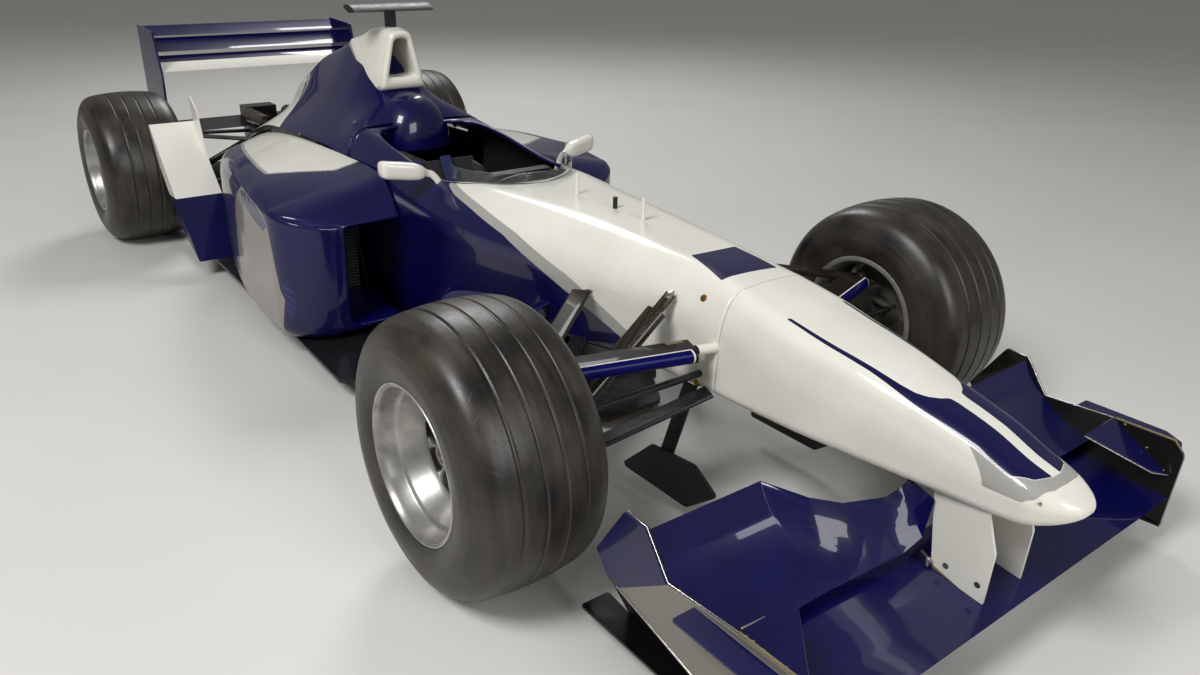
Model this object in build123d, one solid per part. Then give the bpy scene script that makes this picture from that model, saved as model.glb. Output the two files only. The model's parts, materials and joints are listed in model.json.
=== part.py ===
"""Open wheel racing car of about the year 2000: a carbon tub on four exposed wheels.

Sizes are in millimetres. X points forward, Y to the car's left and Z up. The origin is on the
ground at the middle of the car's length. Stations along the car are written from the front axle,
forward positive, and station() turns one into X.
"""

from build123d import *
import math
import os

os.makedirs("parts", exist_ok=True)

# Driving dimensions
WHEELBASE = 3100
FRONT_OVERHANG = 990
REAR_OVERHANG = 534
OVERALL_WIDTH = 1800
FRONT_TYRE_RADIUS = 325
FRONT_TYRE_WIDTH = 335
REAR_TYRE_RADIUS = 330
REAR_TYRE_WIDTH = 365
SEAT_GAP = 0.3
RUNNING_GAP = 0.3

FRONT_AXLE_X = (WHEELBASE + REAR_OVERHANG - FRONT_OVERHANG) / 2
REAR_AXLE = -WHEELBASE
REAR_END = REAR_AXLE - REAR_OVERHANG
FRONT_WHEEL_Y = (OVERALL_WIDTH - FRONT_TYRE_WIDTH) / 2
REAR_WHEEL_Y = (OVERALL_WIDTH - REAR_TYRE_WIDTH) / 2

# Wheels
FLANGE_RADIUS = 182
FLANGE_WIDTH = 11
BEAD_RADIUS = 166
RIM_WALL = 7
RIM_INSET = 11
TREAD_INSET = 62
TREAD_CROWN = 9
SHOULDER_DROP = 96
DISH_EDGE_RADIUS = 175
DISH_STEP_RADIUS = 163
DISH_FOOT_RADIUS = 131
DISH_STEP = 40
DISH_DEPTH = 90
DISH_WALL = 16
SPOKE_COUNT = 10
SPOKE_HALF = 4.5
SPOKE_FLARE = 20
SPOKE_DEPTH = 20
SPOKE_INSET = 96
HUB_RADIUS = 38
HUB_RING = 12
NUT_RADIUS = 34
NUT_LENGTH = 26
AXLE_RADIUS = 26
SHAFT_RADIUS = 20
OUTPUT_FACE = 150
DISC_RADIUS = 139
DISC_THICKNESS = 28
DISC_INBOARD = 72
DISC_BELL = 20

# Uprights, left side, from the front axle
KINGPIN_LOW = (0, FRONT_WHEEL_Y - 132.5, 195)
KINGPIN_HIGH = (-8, FRONT_WHEEL_Y - 144.5, 445)
UPRIGHT_INBOARD = FRONT_WHEEL_Y - 147.5
REAR_LOW = (REAR_AXLE, REAR_WHEEL_Y - 151.5, 205)
REAR_HIGH = (REAR_AXLE - 5, REAR_WHEEL_Y - 157.5, 455)
REAR_UPRIGHT_INBOARD = REAR_WHEEL_Y - 175.5
UPRIGHT_THICKNESS = 46
UPRIGHT_HALF = 34
BOSS_WALL = 22
BALL_RADIUS = 17
BALL_LUG = 16
STEERING_ARM = 110
RACK_HEIGHT = 385
TRACK_ROD_RADIUS = 9
CALIPER_REACH = 148
CALIPER_NEAR = 86
CALIPER_HALF = 55
CALIPER_GAP = 5
CALIPER_WALL = 14

# Front suspension, left side, from the front axle
UPPER_FRONT_FOOT = (153, 150, 467)
UPPER_REAR_FOOT = (-290, 232, 485)
LOWER_FRONT_FOOT = (150, 170, 352)
LOWER_REAR_FOOT = (-330, 206, 330)
PUSHROD_FOOT = (8, 548, 270)
PUSHROD_TOP = (0, 175, 557)
PUSHROD_CHORD = 58
PUSHROD_THICKNESS = 32
CLEVIS_SHARE = 0.12
CLEVIS_CHORD = 30
CLEVIS_THICKNESS = 20
FAIRING_CHORD = 86
FAIRING_THICKNESS = 36
FAIRING_START = 0.152
FAIRING_STOP = 0.9
STUB_RADIUS = 13
ARM_CHORD = 52
ARM_THICKNESS = 13
BALL_NECK = 12

# Rear suspension, left side
REAR_UPPER_FEET = ((REAR_AXLE + 240, 150, 425), (REAR_AXLE - 130, 150, 410))
REAR_LOWER_FEET = ((REAR_AXLE + 300, 150, 190), (REAR_AXLE - 130, 150, 185))
REAR_ARM_CHORD = 44
REAR_ARM_THICKNESS = 13
REAR_ROD_FOOT = (REAR_AXLE + 40, 515, 262)
REAR_ROD_TOP = (REAR_AXLE + 140, 130, 470)
REAR_ROD_CHORD = 30
REAR_ROD_THICKNESS = 24

# Floor and body heights
TUB_END = -1950
TUB_WALL = 18
FLOOR_TOP = 74
FLOOR_THICKNESS = 12
REFERENCE_PLANE = 30
PLANK_THICKNESS = 10
PLANK_HALF = 150
REFERENCE_HALF = 250
DECK_HEIGHT = 600
DECK_START = -1640

# station, low half, low z, mid half, mid z, top half, top z, share of the corner radii
TUB_ROWS = (
    (160, 166, 343, 158, 530, 119, 606, 1),
    (30, 172, 340, 172, 538, 108, 620, 1),
    (-100, 180, 334, 190, 543, 116, 628, 1),
    (-250, 190, 318, 210, 546, 126, 634, 1),
    (-520, 210, 275, 250, 548, 150, 641, 1),
    (-830, 235, 190, 288, 545, 197, 641, 1),
    (-1080, 250, FLOOR_TOP, 300, 548, 228, 636, 1),
    (-1400, 255, FLOOR_TOP, 300, 572, 244, 669, 1),
    (DECK_START, 255, FLOOR_TOP, 300, 592, 252, 695, 1),
    (TUB_END, 255, FLOOR_TOP, 300, 592, 252, 695, 1),
)
TUB_RADII = (14, 60, 30)

# station, low half, low z, mid half, mid z, top half, top z, share of the corner radii
NOSE_ROWS = (
    (160, 166, 343, 158, 530, 119, 606, 1),
    (300, 156, 341, 150, 500, 126, 584, 1),
    (400, 148, 341, 142, 478, 122, 567, 1),
    (520, 130, 341, 127, 458, 108, 548, 1),
    (650, 110, 341, 111, 438, 90, 521, 1),
    (780, 92, 343, 97, 420, 79, 490, 0.9),
    (880, 80, 347, 88, 412, 70, 452, 0.7),
    (945, 64, 359, 72, 406, 54, 432, 0.5),
    (978, 42, 378, 48, 405, 36, 419, 0.3),
    (FRONT_OVERHANG, 20, 394, 26, 404, 18, 411, 0.12),
)
NOSE_RADII = (12, 50, 26)

# Cockpit
COCKPIT_FRONT = -838
COCKPIT_WIDEST = -1500
COCKPIT_SHOULDER = -1060
COCKPIT_REAR = -1622
COCKPIT_HALF = 226
SHOULDER_STEP = 20
CORNER_STEP = 40
OPENING_LOW = 520
LEG_BULKHEAD = 110
DASH_FRONT = -790
DASH_BACK = -806
DASH_LOW = 470
DASH_HIGH = 635
WHEEL_CENTRE = (-968, 0, 572)
COLUMN_TILT = 18
COLUMN_RADIUS = 12
COLUMN_LENGTH = 250
GRIP_WIDTH = 270
GRIP_HEIGHT = 165
GRIP_THICKNESS = 24
HAND_PLACE = 103
SEAT_HALF = 190
SEAT_SIDE = 14

# Nose pillars and front wing
PILLAR_INNER = 66
PILLAR_THICKNESS = 7
WING_HALF = 650
WING_LEAD = 905
WING_LEAD_HEIGHT = 138
WING_TAIL = 660
FLAP_LEAD = 700
ENDPLATE_THICKNESS = 10
FOOTPLATE_THICKNESS = 6
FOOTPLATE_LOW = 58
FOOTPLATE_OUT = 20
FOOTPLATE_IN = 54
LEDGE_WIDTH = 58
LEDGE_HEIGHT = 268
LEDGE_THICKNESS = 5
WINGLET_REAR_WIDTH = 142
WINGLET_FRONT_WIDTH = 45
# y, leading station and z, trailing station and z, thickness, camber
MAIN_ROWS = (
    (WING_HALF, WING_LEAD, WING_LEAD_HEIGHT, WING_TAIL, 178, 16, -14),
    (0, WING_LEAD, WING_LEAD_HEIGHT, WING_TAIL, 174, 16, -14),
)
FLAP_ROWS = (
    (WING_HALF, FLAP_LEAD, 205, 497, 351, 10, -34),
    (358, FLAP_LEAD, 204, 500, 351, 10, -34),
    (302, FLAP_LEAD + 2, 203, 580, 333, 10, -20),
    (240, FLAP_LEAD + 5, 202, 620, 317, 9, -13),
    (140, FLAP_LEAD + 12, 204, 650, 309, 8, -9),
    (96, FLAP_LEAD + 22, 232, 654, 319, 7, -5),
    (78, FLAP_LEAD + 24, 318, 658, 337, 5, -2),
)

# Side pods
POD_LIP = -1235
POD_ROLL = 165
POD_TAIL = REAR_AXLE + 360
POD_INNER = 302
POD_WALL = 6
POD_SIDE_RADIUS = 60
POD_TOP_RADIUS = 45
ROLL_TURNS = (90, 68, 48, 28)
ROLL_POWER = 2.2
DUCT_DEPTH = 420
CORE_PLACE = 355
CORE_THICKNESS = 60
# inner y, low z, outer y, outer top z, inner top z
POD_MOUTH = (POD_INNER, 112, 500, 468, 472)
POD_MOUTH_RADIUS = 50
# share of the way from the roll to the tail, outer half, outer top z, inner top z
POD_ROWS = (
    (0, 690, 545, 602),
    (0.22, 680, 551, 600),
    (0.45, 636, 540, 592),
    (0.67, 568, 514, 570),
    (0.87, 468, 460, 520),
    (1, 384, 402, 452),
)

# Engine cover, headrest and airbox
COVER_TAIL = REAR_AXLE + 150
COVER_LOW = 445
# share of the way from the deck's start to the tail, edge half, edge z, waist half, waist z, top half, top z
COVER_ROWS = (
    (0, 300, 592, 250, 693, 160, 699),
    (0.092, 300, 600, 220, 706, 92, 794),
    (0.145, 300, 604, 204, 704, 78, 850),
    (0.221, 301, 604, 196, 700, 62, 920),
    (0.344, 301, 600, 188, 690, 42, 948),
    (0.489, 301, 592, 170, 676, 38, 896),
    (0.618, 301, 578, 150, 658, 34, 845),
    (0.733, 301, 540, 128, 625, 30, 779),
    (0.857, 280, 486, 104, 572, 26, 700),
    (0.947, 200, 466, 84, 530, 22, 610),
    (1, 130, 460, 70, 498, 20, 542),
)
HEADREST_STATION = -1770
HEADREST_LENGTH = 188
HEADREST_HALF = 152
HEADREST_HEIGHT = 195
HEADREST_POWER = 2.7
HEADREST_TURNS = (88, 82, 72, 56, 36, 0)
# station, low half, low z, mid half, mid z, top half, top z, share of the corner radii
AIRBOX_ROWS = (
    (-1750, 78, 806, 78, 848, 38, 1000, 1),
    (-1764, 87, 798, 84, 848, 42, 1013, 1),
    (-1800, 94, 786, 88, 850, 43, 1018, 1),
    (-1860, 98, 796, 90, 856, 43, 1017, 1),
    (-1930, 90, 826, 84, 872, 42, 1007, 1),
    (-2020, 74, 880, 70, 908, 40, 980, 1),
    (-2115, 52, 916, 50, 938, 38, 957, 0.35),
)
AIRBOX_RADII = (12, 12, 16)
INLET = ((-56, 846), (56, 846), (27, 978), (-27, 978))
INLET_RADII = (14, 14, 18, 18)
INLET_DEPTH = 170

# Engine, gearbox and rear structure
ENGINE_HALF = 250
ENGINE_LENGTH = 600
ENGINE_HIGH = 430
GEARBOX_TOP = 430
GEARBOX_RADIUS = 30
GEARBOX_END = REAR_AXLE - 150
CRASH_END = REAR_END + 74
CRASH_RADIUS = 12
EXHAUST_RADIUS = 34
EXHAUST_WALL = 3
EXHAUST_LENGTH = 260
JACK_STATION = REAR_END + 109
JACK_HEIGHT = 232
JACK_PIN_RADIUS = 9
JACK_PIN_LENGTH = 60
JACK_LUG_HALF = 10
JACK_LUG_WALL = 6
JACK_ROOT = 275
# station, half width, low z, high z
GEARBOX_ROWS = (
    (TUB_END - ENGINE_LENGTH, 215, 90, GEARBOX_TOP),
    ((TUB_END - ENGINE_LENGTH + 2 * GEARBOX_END) / 3, 150, 120, GEARBOX_TOP),
    (GEARBOX_END, 150, 165, GEARBOX_TOP),
)
CRASH_ROWS = (
    (GEARBOX_END, 110, 205, 402),
    (CRASH_END, 70, 260, 397),
)

# Rear wing, diffuser and flip-ups
REAR_WING_HALF = 488
DIFFUSER_HALF = REAR_WING_HALF + 12
FENCE_THICKNESS = 8
FLIP_INNER = 500
FLIP_OUTER = 684
FLIP_TOP = 556


def station(x):
    """X of a place given from the front axle."""
    return FRONT_AXLE_X + x


def place(point):
    """A point given from the front axle, as a vector in the car's frame."""
    return Vector(station(point[0]), point[1], point[2])


def between(start, end, share):
    """Point at a share of the way from one point to another."""
    return tuple(a + (b - a) * share for a, b in zip(start, end))


def rounded_wire(corners, radii):
    """Closed wire in the local plane: straight sides, each corner an arc of its own radius."""
    spots = [Vector(*corner) for corner in corners]
    pieces = []
    count = len(spots)
    for i in range(count):
        here = spots[i]
        if radii[i] == 0:
            pieces.append((here, here, here))
            continue
        back = (spots[i - 1] - here).normalized()
        ahead = (spots[(i + 1) % count] - here).normalized()
        half = math.radians(back.get_angle(ahead)) / 2
        reach = radii[i] / math.tan(half)
        centre = here + (back + ahead).normalized() * (radii[i] / math.sin(half))
        middle = centre + (here - centre).normalized() * radii[i]
        pieces.append((here + back * reach, middle, here + ahead * reach))
    edges = []
    for i in range(count):
        start, middle, end = pieces[i]
        following = pieces[(i + 1) % count][0]
        if radii[i] > 0:
            edges.append(ThreePointArc(start, middle, end))
        if (following - end).length > 0.01:
            edges.append(Line(end, following))
    return Wire(edges)


def rounded_face(corners, radii):
    """Flat face inside a rounded outline."""
    return Face(rounded_wire(corners, radii))


def cross_plane(x):
    """Plane across the car at a station, its own x along Y and its own y along Z."""
    return Plane(origin=(station(x), 0, 0), x_dir=(0, 1, 0), z_dir=(1, 0, 0))


def side_plane(y):
    """Plane along the car at a distance from the middle, its own x along X and y along Z."""
    return Plane(origin=(0, y, 0), x_dir=(1, 0, 0), z_dir=(0, -1, 0))


def level_plane(z):
    """Level plane at a height."""
    return Plane(origin=(0, 0, z), x_dir=(1, 0, 0), z_dir=(0, 0, 1))


def hull_section(row, radii, inset=0.0):
    """Symmetric six cornered section of a hull, pulled in by a wall where one is given."""
    x, low_half, low_z, mid_half, mid_z, top_half, top_z, share = row
    corners = (
        (-(low_half - inset), low_z + inset),
        (low_half - inset, low_z + inset),
        (mid_half - inset, mid_z),
        (top_half - inset, top_z - inset),
        (-(top_half - inset), top_z - inset),
        (-(mid_half - inset), mid_z),
    )
    low_r, mid_r, top_r = (radius * share for radius in radii)
    arcs = (low_r, low_r, mid_r, top_r, top_r, mid_r)
    return cross_plane(x) * rounded_face(corners, arcs)


def hull(rows, radii, inset=0.0):
    """Solid through a row of hull sections."""
    return loft([hull_section(row, radii, inset) for row in rows], ruled=True)


def row_at(rows, x):
    """Section row at a station between two given ones."""
    for ahead, behind in zip(rows, rows[1:]):
        if behind[0] <= x <= ahead[0]:
            return between(ahead, behind, (ahead[0] - x) / (ahead[0] - behind[0]))
    raise ValueError("station outside the rows")


def slab(x_back, x_front, y_low, y_high, z_low, z_high):
    """Rectangular block between stations, sides and heights."""
    size = (x_front - x_back, y_high - y_low, z_high - z_low)
    middle = (station((x_back + x_front) / 2), (y_low + y_high) / 2, (z_low + z_high) / 2)
    return Pos(*middle) * Box(*size)


def plate(outline, radii, y_inner, thickness):
    """Upright plate along the car from an outline of stations and heights."""
    corners = [(station(x), z) for x, z in outline]
    face = side_plane(y_inner) * rounded_face(corners, radii)
    return extrude(face, amount=thickness, dir=(0, 1, 0))


def level_plate(outline, radii, z_low, thickness):
    """Level plate from an outline of stations and sideways places."""
    corners = [(station(x), y) for x, y in outline]
    face = level_plane(z_low) * rounded_face(corners, radii)
    return extrude(face, amount=thickness, dir=(0, 0, 1))


def bar(start, end, wide, thick, across=(0, 0, 1)):
    """Streamlined bar between two points; its thick side is turned along the given direction."""
    begin = place(start)
    finish = place(end)
    along = (finish - begin).normalized()
    sideways = along.cross(Vector(*across)).normalized()
    section = Plane(origin=begin, x_dir=sideways, z_dir=along)
    return extrude(section * SlotOverall(wide, thick), amount=(finish - begin).length)


def foil_face(nose, tail, thickness, camber):
    """Aerofoil section between two stations and heights, hollow side down for positive camber."""
    start = Vector(station(nose[0]), nose[1])
    end = Vector(station(tail[0]), tail[1])
    along = end - start
    normal = Vector(-along.Y, along.X).normalized()
    if normal.Y < 0:
        normal = normal * -1
    middle = start + along * 0.42
    upper = middle + normal * (camber + thickness / 2)
    lower = middle + normal * (camber - thickness / 2)
    return Face(Wire([ThreePointArc(start, upper, end), ThreePointArc(end, lower, start)]))


def foil_loft(rows):
    """Wing element through aerofoil sections at several distances from the middle."""
    faces = []
    for y, lead_x, lead_z, tail_x, tail_z, thickness, camber in rows:
        faces.append(side_plane(y) * foil_face((lead_x, lead_z), (tail_x, tail_z), thickness, camber))
    return loft(faces, ruled=True)


def both_sides(shape):
    """A left hand piece and its mirror image on the right."""
    return Compound([*shape.solids(), *shape.mirror(Plane.XZ).solids()])


def write(shape, name):
    """Write one piece as its own file."""
    export_step(shape, f"parts/{name}.step")


def wheel_place(axle, centre_y, radius):
    """Placement whose own z axis is the axle pointing outwards on the left side."""
    return Plane(origin=(station(axle), centre_y, radius), x_dir=(1, 0, 0), z_dir=(0, 1, 0))


def turned(outline):
    """Solid of revolution about the axle, from corners given as radius and place along it."""
    face = Face(Wire(Polyline(*[(r, 0, s) for r, s in outline], close=True).edges()))
    return revolve(face, axis=Axis.Z)


def arc_middle(wall, half, end_radius, end_place):
    """Middle of the arc that leaves a tyre's widest place upright and ends at another place."""
    rise = end_radius - wall
    fall = half - end_place
    bend = (rise ** 2 + fall ** 2) / (2 * fall)
    turn = math.asin(rise / bend) / 2
    return wall + bend * math.sin(turn), half - bend * (1 - math.cos(turn))


def tyre(radius, width):
    """Tyre with a crowned tread and round shoulders, its bead on the rim between the flanges."""
    half = width / 2
    lip = half - RIM_INSET
    seat = lip - FLANGE_WIDTH - SEAT_GAP
    bead = BEAD_RADIUS + SEAT_GAP
    over = FLANGE_RADIUS + SEAT_GAP
    edge = half - TREAD_INSET
    shoulder = radius - TREAD_CROWN
    wall = radius - SHOULDER_DROP
    knee = arc_middle(wall, half, shoulder, edge)
    waist = arc_middle(wall, half, over, lip)
    edges = [
        Line((bead, 0, -seat), (bead, 0, seat)),
        Line((bead, 0, seat), (over, 0, seat)),
        Line((over, 0, seat), (over, 0, lip)),
        ThreePointArc((over, 0, lip), (waist[0], 0, waist[1]), (wall, 0, half)),
        ThreePointArc((wall, 0, half), (knee[0], 0, knee[1]), (shoulder, 0, edge)),
        ThreePointArc((shoulder, 0, edge), (radius, 0, 0), (shoulder, 0, -edge)),
        ThreePointArc((shoulder, 0, -edge), (knee[0], 0, -knee[1]), (wall, 0, -half)),
        ThreePointArc((wall, 0, -half), (waist[0], 0, -waist[1]), (over, 0, -lip)),
        Line((over, 0, -lip), (over, 0, -seat)),
        Line((over, 0, -seat), (bead, 0, -seat)),
    ]
    return revolve(Face(Wire(edges)), axis=Axis.Z)


def rim(width):
    """Barrel with two flanges, a wide cone down to the dish, and thin flared spokes to a hub ring."""
    lip = width / 2 - RIM_INSET
    seat = lip - FLANGE_WIDTH
    bore = BEAD_RADIUS - RIM_WALL
    back = lip - DISH_DEPTH - DISH_WALL
    barrel = turned((
        (bore, -lip),
        (FLANGE_RADIUS, -lip),
        (FLANGE_RADIUS, -seat),
        (BEAD_RADIUS, -seat),
        (BEAD_RADIUS, seat),
        (FLANGE_RADIUS, seat),
        (FLANGE_RADIUS, lip),
        (DISH_EDGE_RADIUS, lip),
        (DISH_STEP_RADIUS, lip - DISH_STEP),
        (DISH_STEP_RADIUS - RIM_WALL, lip - DISH_STEP - RIM_WALL),
        (DISH_FOOT_RADIUS, lip - DISH_DEPTH),
        (DISH_FOOT_RADIUS, back),
        (bore, back - DISH_WALL),
    ))
    face = lip - SPOKE_INSET
    ring = turned((
        (AXLE_RADIUS + SEAT_GAP, face - SPOKE_DEPTH),
        (HUB_RADIUS + HUB_RING, face - SPOKE_DEPTH),
        (HUB_RADIUS + HUB_RING, face),
        (AXLE_RADIUS + SEAT_GAP, face),
    ))
    shape = barrel + ring
    reach = DISH_FOOT_RADIUS - HUB_RADIUS
    half_line = (
        (HUB_RADIUS, 2 * SPOKE_HALF),
        (HUB_RADIUS + 0.25 * reach, SPOKE_HALF),
        (HUB_RADIUS + 0.72 * reach, SPOKE_HALF),
        (DISH_FOOT_RADIUS + 2, SPOKE_FLARE),
    )
    outline = [*half_line, *[(x, -y) for x, y in reversed(half_line)]]
    blade = Face(Wire(Polyline(*outline, close=True).edges()))
    spoke = extrude(Plane(origin=(0, 0, face - SPOKE_DEPTH)) * blade, amount=SPOKE_DEPTH, dir=(0, 0, 1))
    for turn in range(SPOKE_COUNT):
        shape += Rot(0, 0, (turn + 0.5) * 360 / SPOKE_COUNT) * spoke
    return shape


def hub(width, inboard_y, centre_y, shaft_inboard):
    """Axle with brake disc, drive flange and nut, and any driveshaft, on one spin axis."""
    face = width / 2 - RIM_INSET - SPOKE_INSET
    ring_back = face - SPOKE_DEPTH - SEAT_GAP
    disc_back = -DISC_INBOARD - DISC_THICKNESS / 2
    disc_front = disc_back + DISC_THICKNESS
    back = inboard_y - centre_y
    outline = [(0, back)]
    if shaft_inboard is not None:
        end = shaft_inboard - centre_y
        outline = [(0, end), (SHAFT_RADIUS, end), (SHAFT_RADIUS, back)]
    outline += [
        (AXLE_RADIUS - SEAT_GAP, back),
        (AXLE_RADIUS - SEAT_GAP, disc_back),
        (DISC_RADIUS, disc_back),
        (DISC_RADIUS, disc_front),
        (HUB_RADIUS + DISC_BELL, disc_front),
        (HUB_RADIUS, ring_back),
        (AXLE_RADIUS, ring_back),
        (AXLE_RADIUS, face + SEAT_GAP),
        (NUT_RADIUS, face + SEAT_GAP),
        (NUT_RADIUS, face + NUT_LENGTH),
        (0, face + NUT_LENGTH),
    ]
    return turned(outline)


# end, axle station, wheel centre, tyre radius, tyre width, inboard end of the axle, of the shaft
WHEEL_ROWS = (
    ("front", 0, FRONT_WHEEL_Y, FRONT_TYRE_RADIUS, FRONT_TYRE_WIDTH, UPRIGHT_INBOARD + 2, None),
    ("rear", REAR_AXLE, REAR_WHEEL_Y, REAR_TYRE_RADIUS, REAR_TYRE_WIDTH, REAR_UPRIGHT_INBOARD - 2,
     OUTPUT_FACE + SEAT_GAP),
)


def make_wheels():
    for end, axle, centre, radius, width, inboard, shaft in WHEEL_ROWS:
        frame = wheel_place(axle, centre, radius)
        pieces = {
            "tyre": frame * tyre(radius, width),
            "rim": frame * rim(width),
            "hub": frame * hub(width, inboard, centre, shaft),
        }
        for name, shape in pieces.items():
            write(shape, f"{name}_{end}_left")
            write(shape.mirror(Plane.XZ), f"{name}_{end}_right")


def upright(axle, centre_y, radius, low, high, inboard, arm_eye):
    """Upright between two ball joints, with a bored boss for the axle, a caliper and an arm."""
    outer = inboard + UPRIGHT_THICKNESS
    middle = (inboard + outer) / 2
    lug_step = BALL_RADIUS + BALL_LUG / 2
    back, front = axle - UPRIGHT_HALF, axle + UPRIGHT_HALF
    body = slab(back, front, inboard, outer, low[2] + lug_step, high[2] - lug_step)
    boss = wheel_place(axle, inboard, radius)
    body += extrude(boss * Circle(HUB_RADIUS + BOSS_WALL), amount=UPRIGHT_THICKNESS)
    disc_face = centre_y - DISC_INBOARD - DISC_THICKNESS / 2
    caliper_face = disc_face + DISC_THICKNESS + CALIPER_GAP + CALIPER_WALL
    caliper = slab(
        axle - CALIPER_REACH, axle - CALIPER_NEAR, inboard, caliper_face, radius - CALIPER_HALF,
        radius + CALIPER_HALF)
    slot = wheel_place(axle, disc_face - CALIPER_GAP, radius)
    caliper -= extrude(slot * Circle(DISC_RADIUS + CALIPER_GAP), amount=DISC_THICKNESS + 2 * CALIPER_GAP)
    caliper &= extrude(boss * Circle(BEAD_RADIUS - RIM_WALL - CALIPER_GAP), amount=centre_y)
    body += caliper
    body += slab(axle - CALIPER_NEAR - 6, back + 4, inboard, outer, radius - 30, radius + 30)
    if arm_eye is not None:
        body += bar((axle + 20, middle, arm_eye[2]), arm_eye, 26, 16)
        body += bar((axle, middle, arm_eye[2] - 40), (axle + 24, middle, arm_eye[2]), 26, 26)
    body -= extrude(boss * Circle(AXLE_RADIUS), amount=UPRIGHT_THICKNESS)
    for ball in (low, high):
        side = 1 if ball[2] > radius else -1
        z_low = ball[2] - side * (BALL_RADIUS + BALL_LUG / 2)
        body += Pos(station(ball[0]), middle, z_low) * Box(40, UPRIGHT_THICKNESS, BALL_LUG)
        body -= Pos(*place(ball)) * Sphere(BALL_RADIUS + RUNNING_GAP)
    return body


def make_uprights():
    eye = (STEERING_ARM, KINGPIN_LOW[1] - 10, RACK_HEIGHT)
    left = upright(0, FRONT_WHEEL_Y, FRONT_TYRE_RADIUS, KINGPIN_LOW, KINGPIN_HIGH, UPRIGHT_INBOARD, eye)
    write(left, "upright_front_left")
    write(left.mirror(Plane.XZ), "upright_front_right")
    rear = upright(REAR_AXLE, REAR_WHEEL_Y, REAR_TYRE_RADIUS, REAR_LOW, REAR_HIGH, REAR_UPRIGHT_INBOARD, None)
    write(both_sides(rear), "uprights_rear")


def neck(ball):
    """End of an arm just inboard of its ball joint."""
    return (ball[0], ball[1] - BALL_NECK, ball[2])


def wishbone(ball, feet, chord, thickness):
    """Two streamlined arms that meet at a ball joint."""
    shape = bar(feet[0], neck(ball), chord, thickness)
    for foot in feet[1:]:
        shape += bar(foot, neck(ball), chord, thickness)
    return shape + Pos(*place(ball)) * Sphere(BALL_RADIUS)


def faired_arm(foot, end):
    """Arm with a deep fairing over its middle, a round stub at the tub and a slim end at the joint."""
    start = between(foot, end, FAIRING_START)
    stop = between(foot, end, FAIRING_STOP)
    shape = bar(start, stop, FAIRING_CHORD, FAIRING_THICKNESS)
    shape += bar(foot, between(foot, end, FAIRING_START + 0.02), 2 * STUB_RADIUS, 2 * STUB_RADIUS)
    return shape + bar(between(foot, end, FAIRING_STOP - 0.02), end, ARM_CHORD, ARM_THICKNESS)


def make_front_suspension():
    outside = hull(TUB_ROWS, TUB_RADII) + hull(NOSE_ROWS, NOSE_RADII)
    upper = wishbone(KINGPIN_HIGH, (UPPER_REAR_FOOT,), ARM_CHORD, ARM_THICKNESS)
    upper += faired_arm(UPPER_FRONT_FOOT, neck(KINGPIN_HIGH))
    lower = wishbone(KINGPIN_LOW, (LOWER_FRONT_FOOT, LOWER_REAR_FOOT), ARM_CHORD, ARM_THICKNESS)
    foot_x, foot_y, foot_z = PUSHROD_FOOT
    lower += slab(foot_x - 20, foot_x + 20, foot_y - 8, foot_y + 12, KINGPIN_LOW[2], foot_z - 10)
    write(both_sides(upper - outside), "wishbones_front_upper")
    write(both_sides(lower - outside), "wishbones_front_lower")
    shoulder = between(PUSHROD_TOP, PUSHROD_FOOT, CLEVIS_SHARE)
    rod = bar(PUSHROD_FOOT, shoulder, PUSHROD_CHORD, PUSHROD_THICKNESS)
    inside = between(PUSHROD_TOP, PUSHROD_FOOT, CLEVIS_SHARE + 0.02)
    rod += bar(inside, PUSHROD_TOP, CLEVIS_CHORD, CLEVIS_THICKNESS)
    write(both_sides(rod - outside - lower - upper), "pushrods_front")


def make_rack():
    """Rack bar through the tub with its two track rods, one sliding piece."""
    eye_y = KINGPIN_LOW[1] - 30
    size = 2 * TRACK_ROD_RADIUS
    rod = bar((STEERING_ARM, -eye_y, RACK_HEIGHT), (STEERING_ARM, eye_y, RACK_HEIGHT), size, size)
    write(rod, "track_rods")


def make_rear_suspension():
    gearbox = block_loft(GEARBOX_ROWS, GEARBOX_RADIUS)
    upper = wishbone(REAR_HIGH, REAR_UPPER_FEET, REAR_ARM_CHORD, REAR_ARM_THICKNESS)
    lower = wishbone(REAR_LOW, REAR_LOWER_FEET, REAR_ARM_CHORD, REAR_ARM_THICKNESS)
    write(both_sides(upper - gearbox), "wishbones_rear_upper")
    write(both_sides(lower - gearbox), "wishbones_rear_lower")
    rod = bar(REAR_ROD_FOOT, REAR_ROD_TOP, REAR_ROD_CHORD, REAR_ROD_THICKNESS, across=(1, 0, 0))
    write(both_sides(rod - gearbox - upper - lower - cover_shape()), "pushrods_rear")


def block_loft(rows, radius):
    """Solid through rounded rectangles given by station, half width, low and high z."""
    faces = []
    for x, half, low, high in rows:
        corners = ((-half, low), (half, low), (half, high), (-half, high))
        faces.append(cross_plane(x) * rounded_face(corners, (radius,) * 4))
    return loft(faces, ruled=True)


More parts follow.
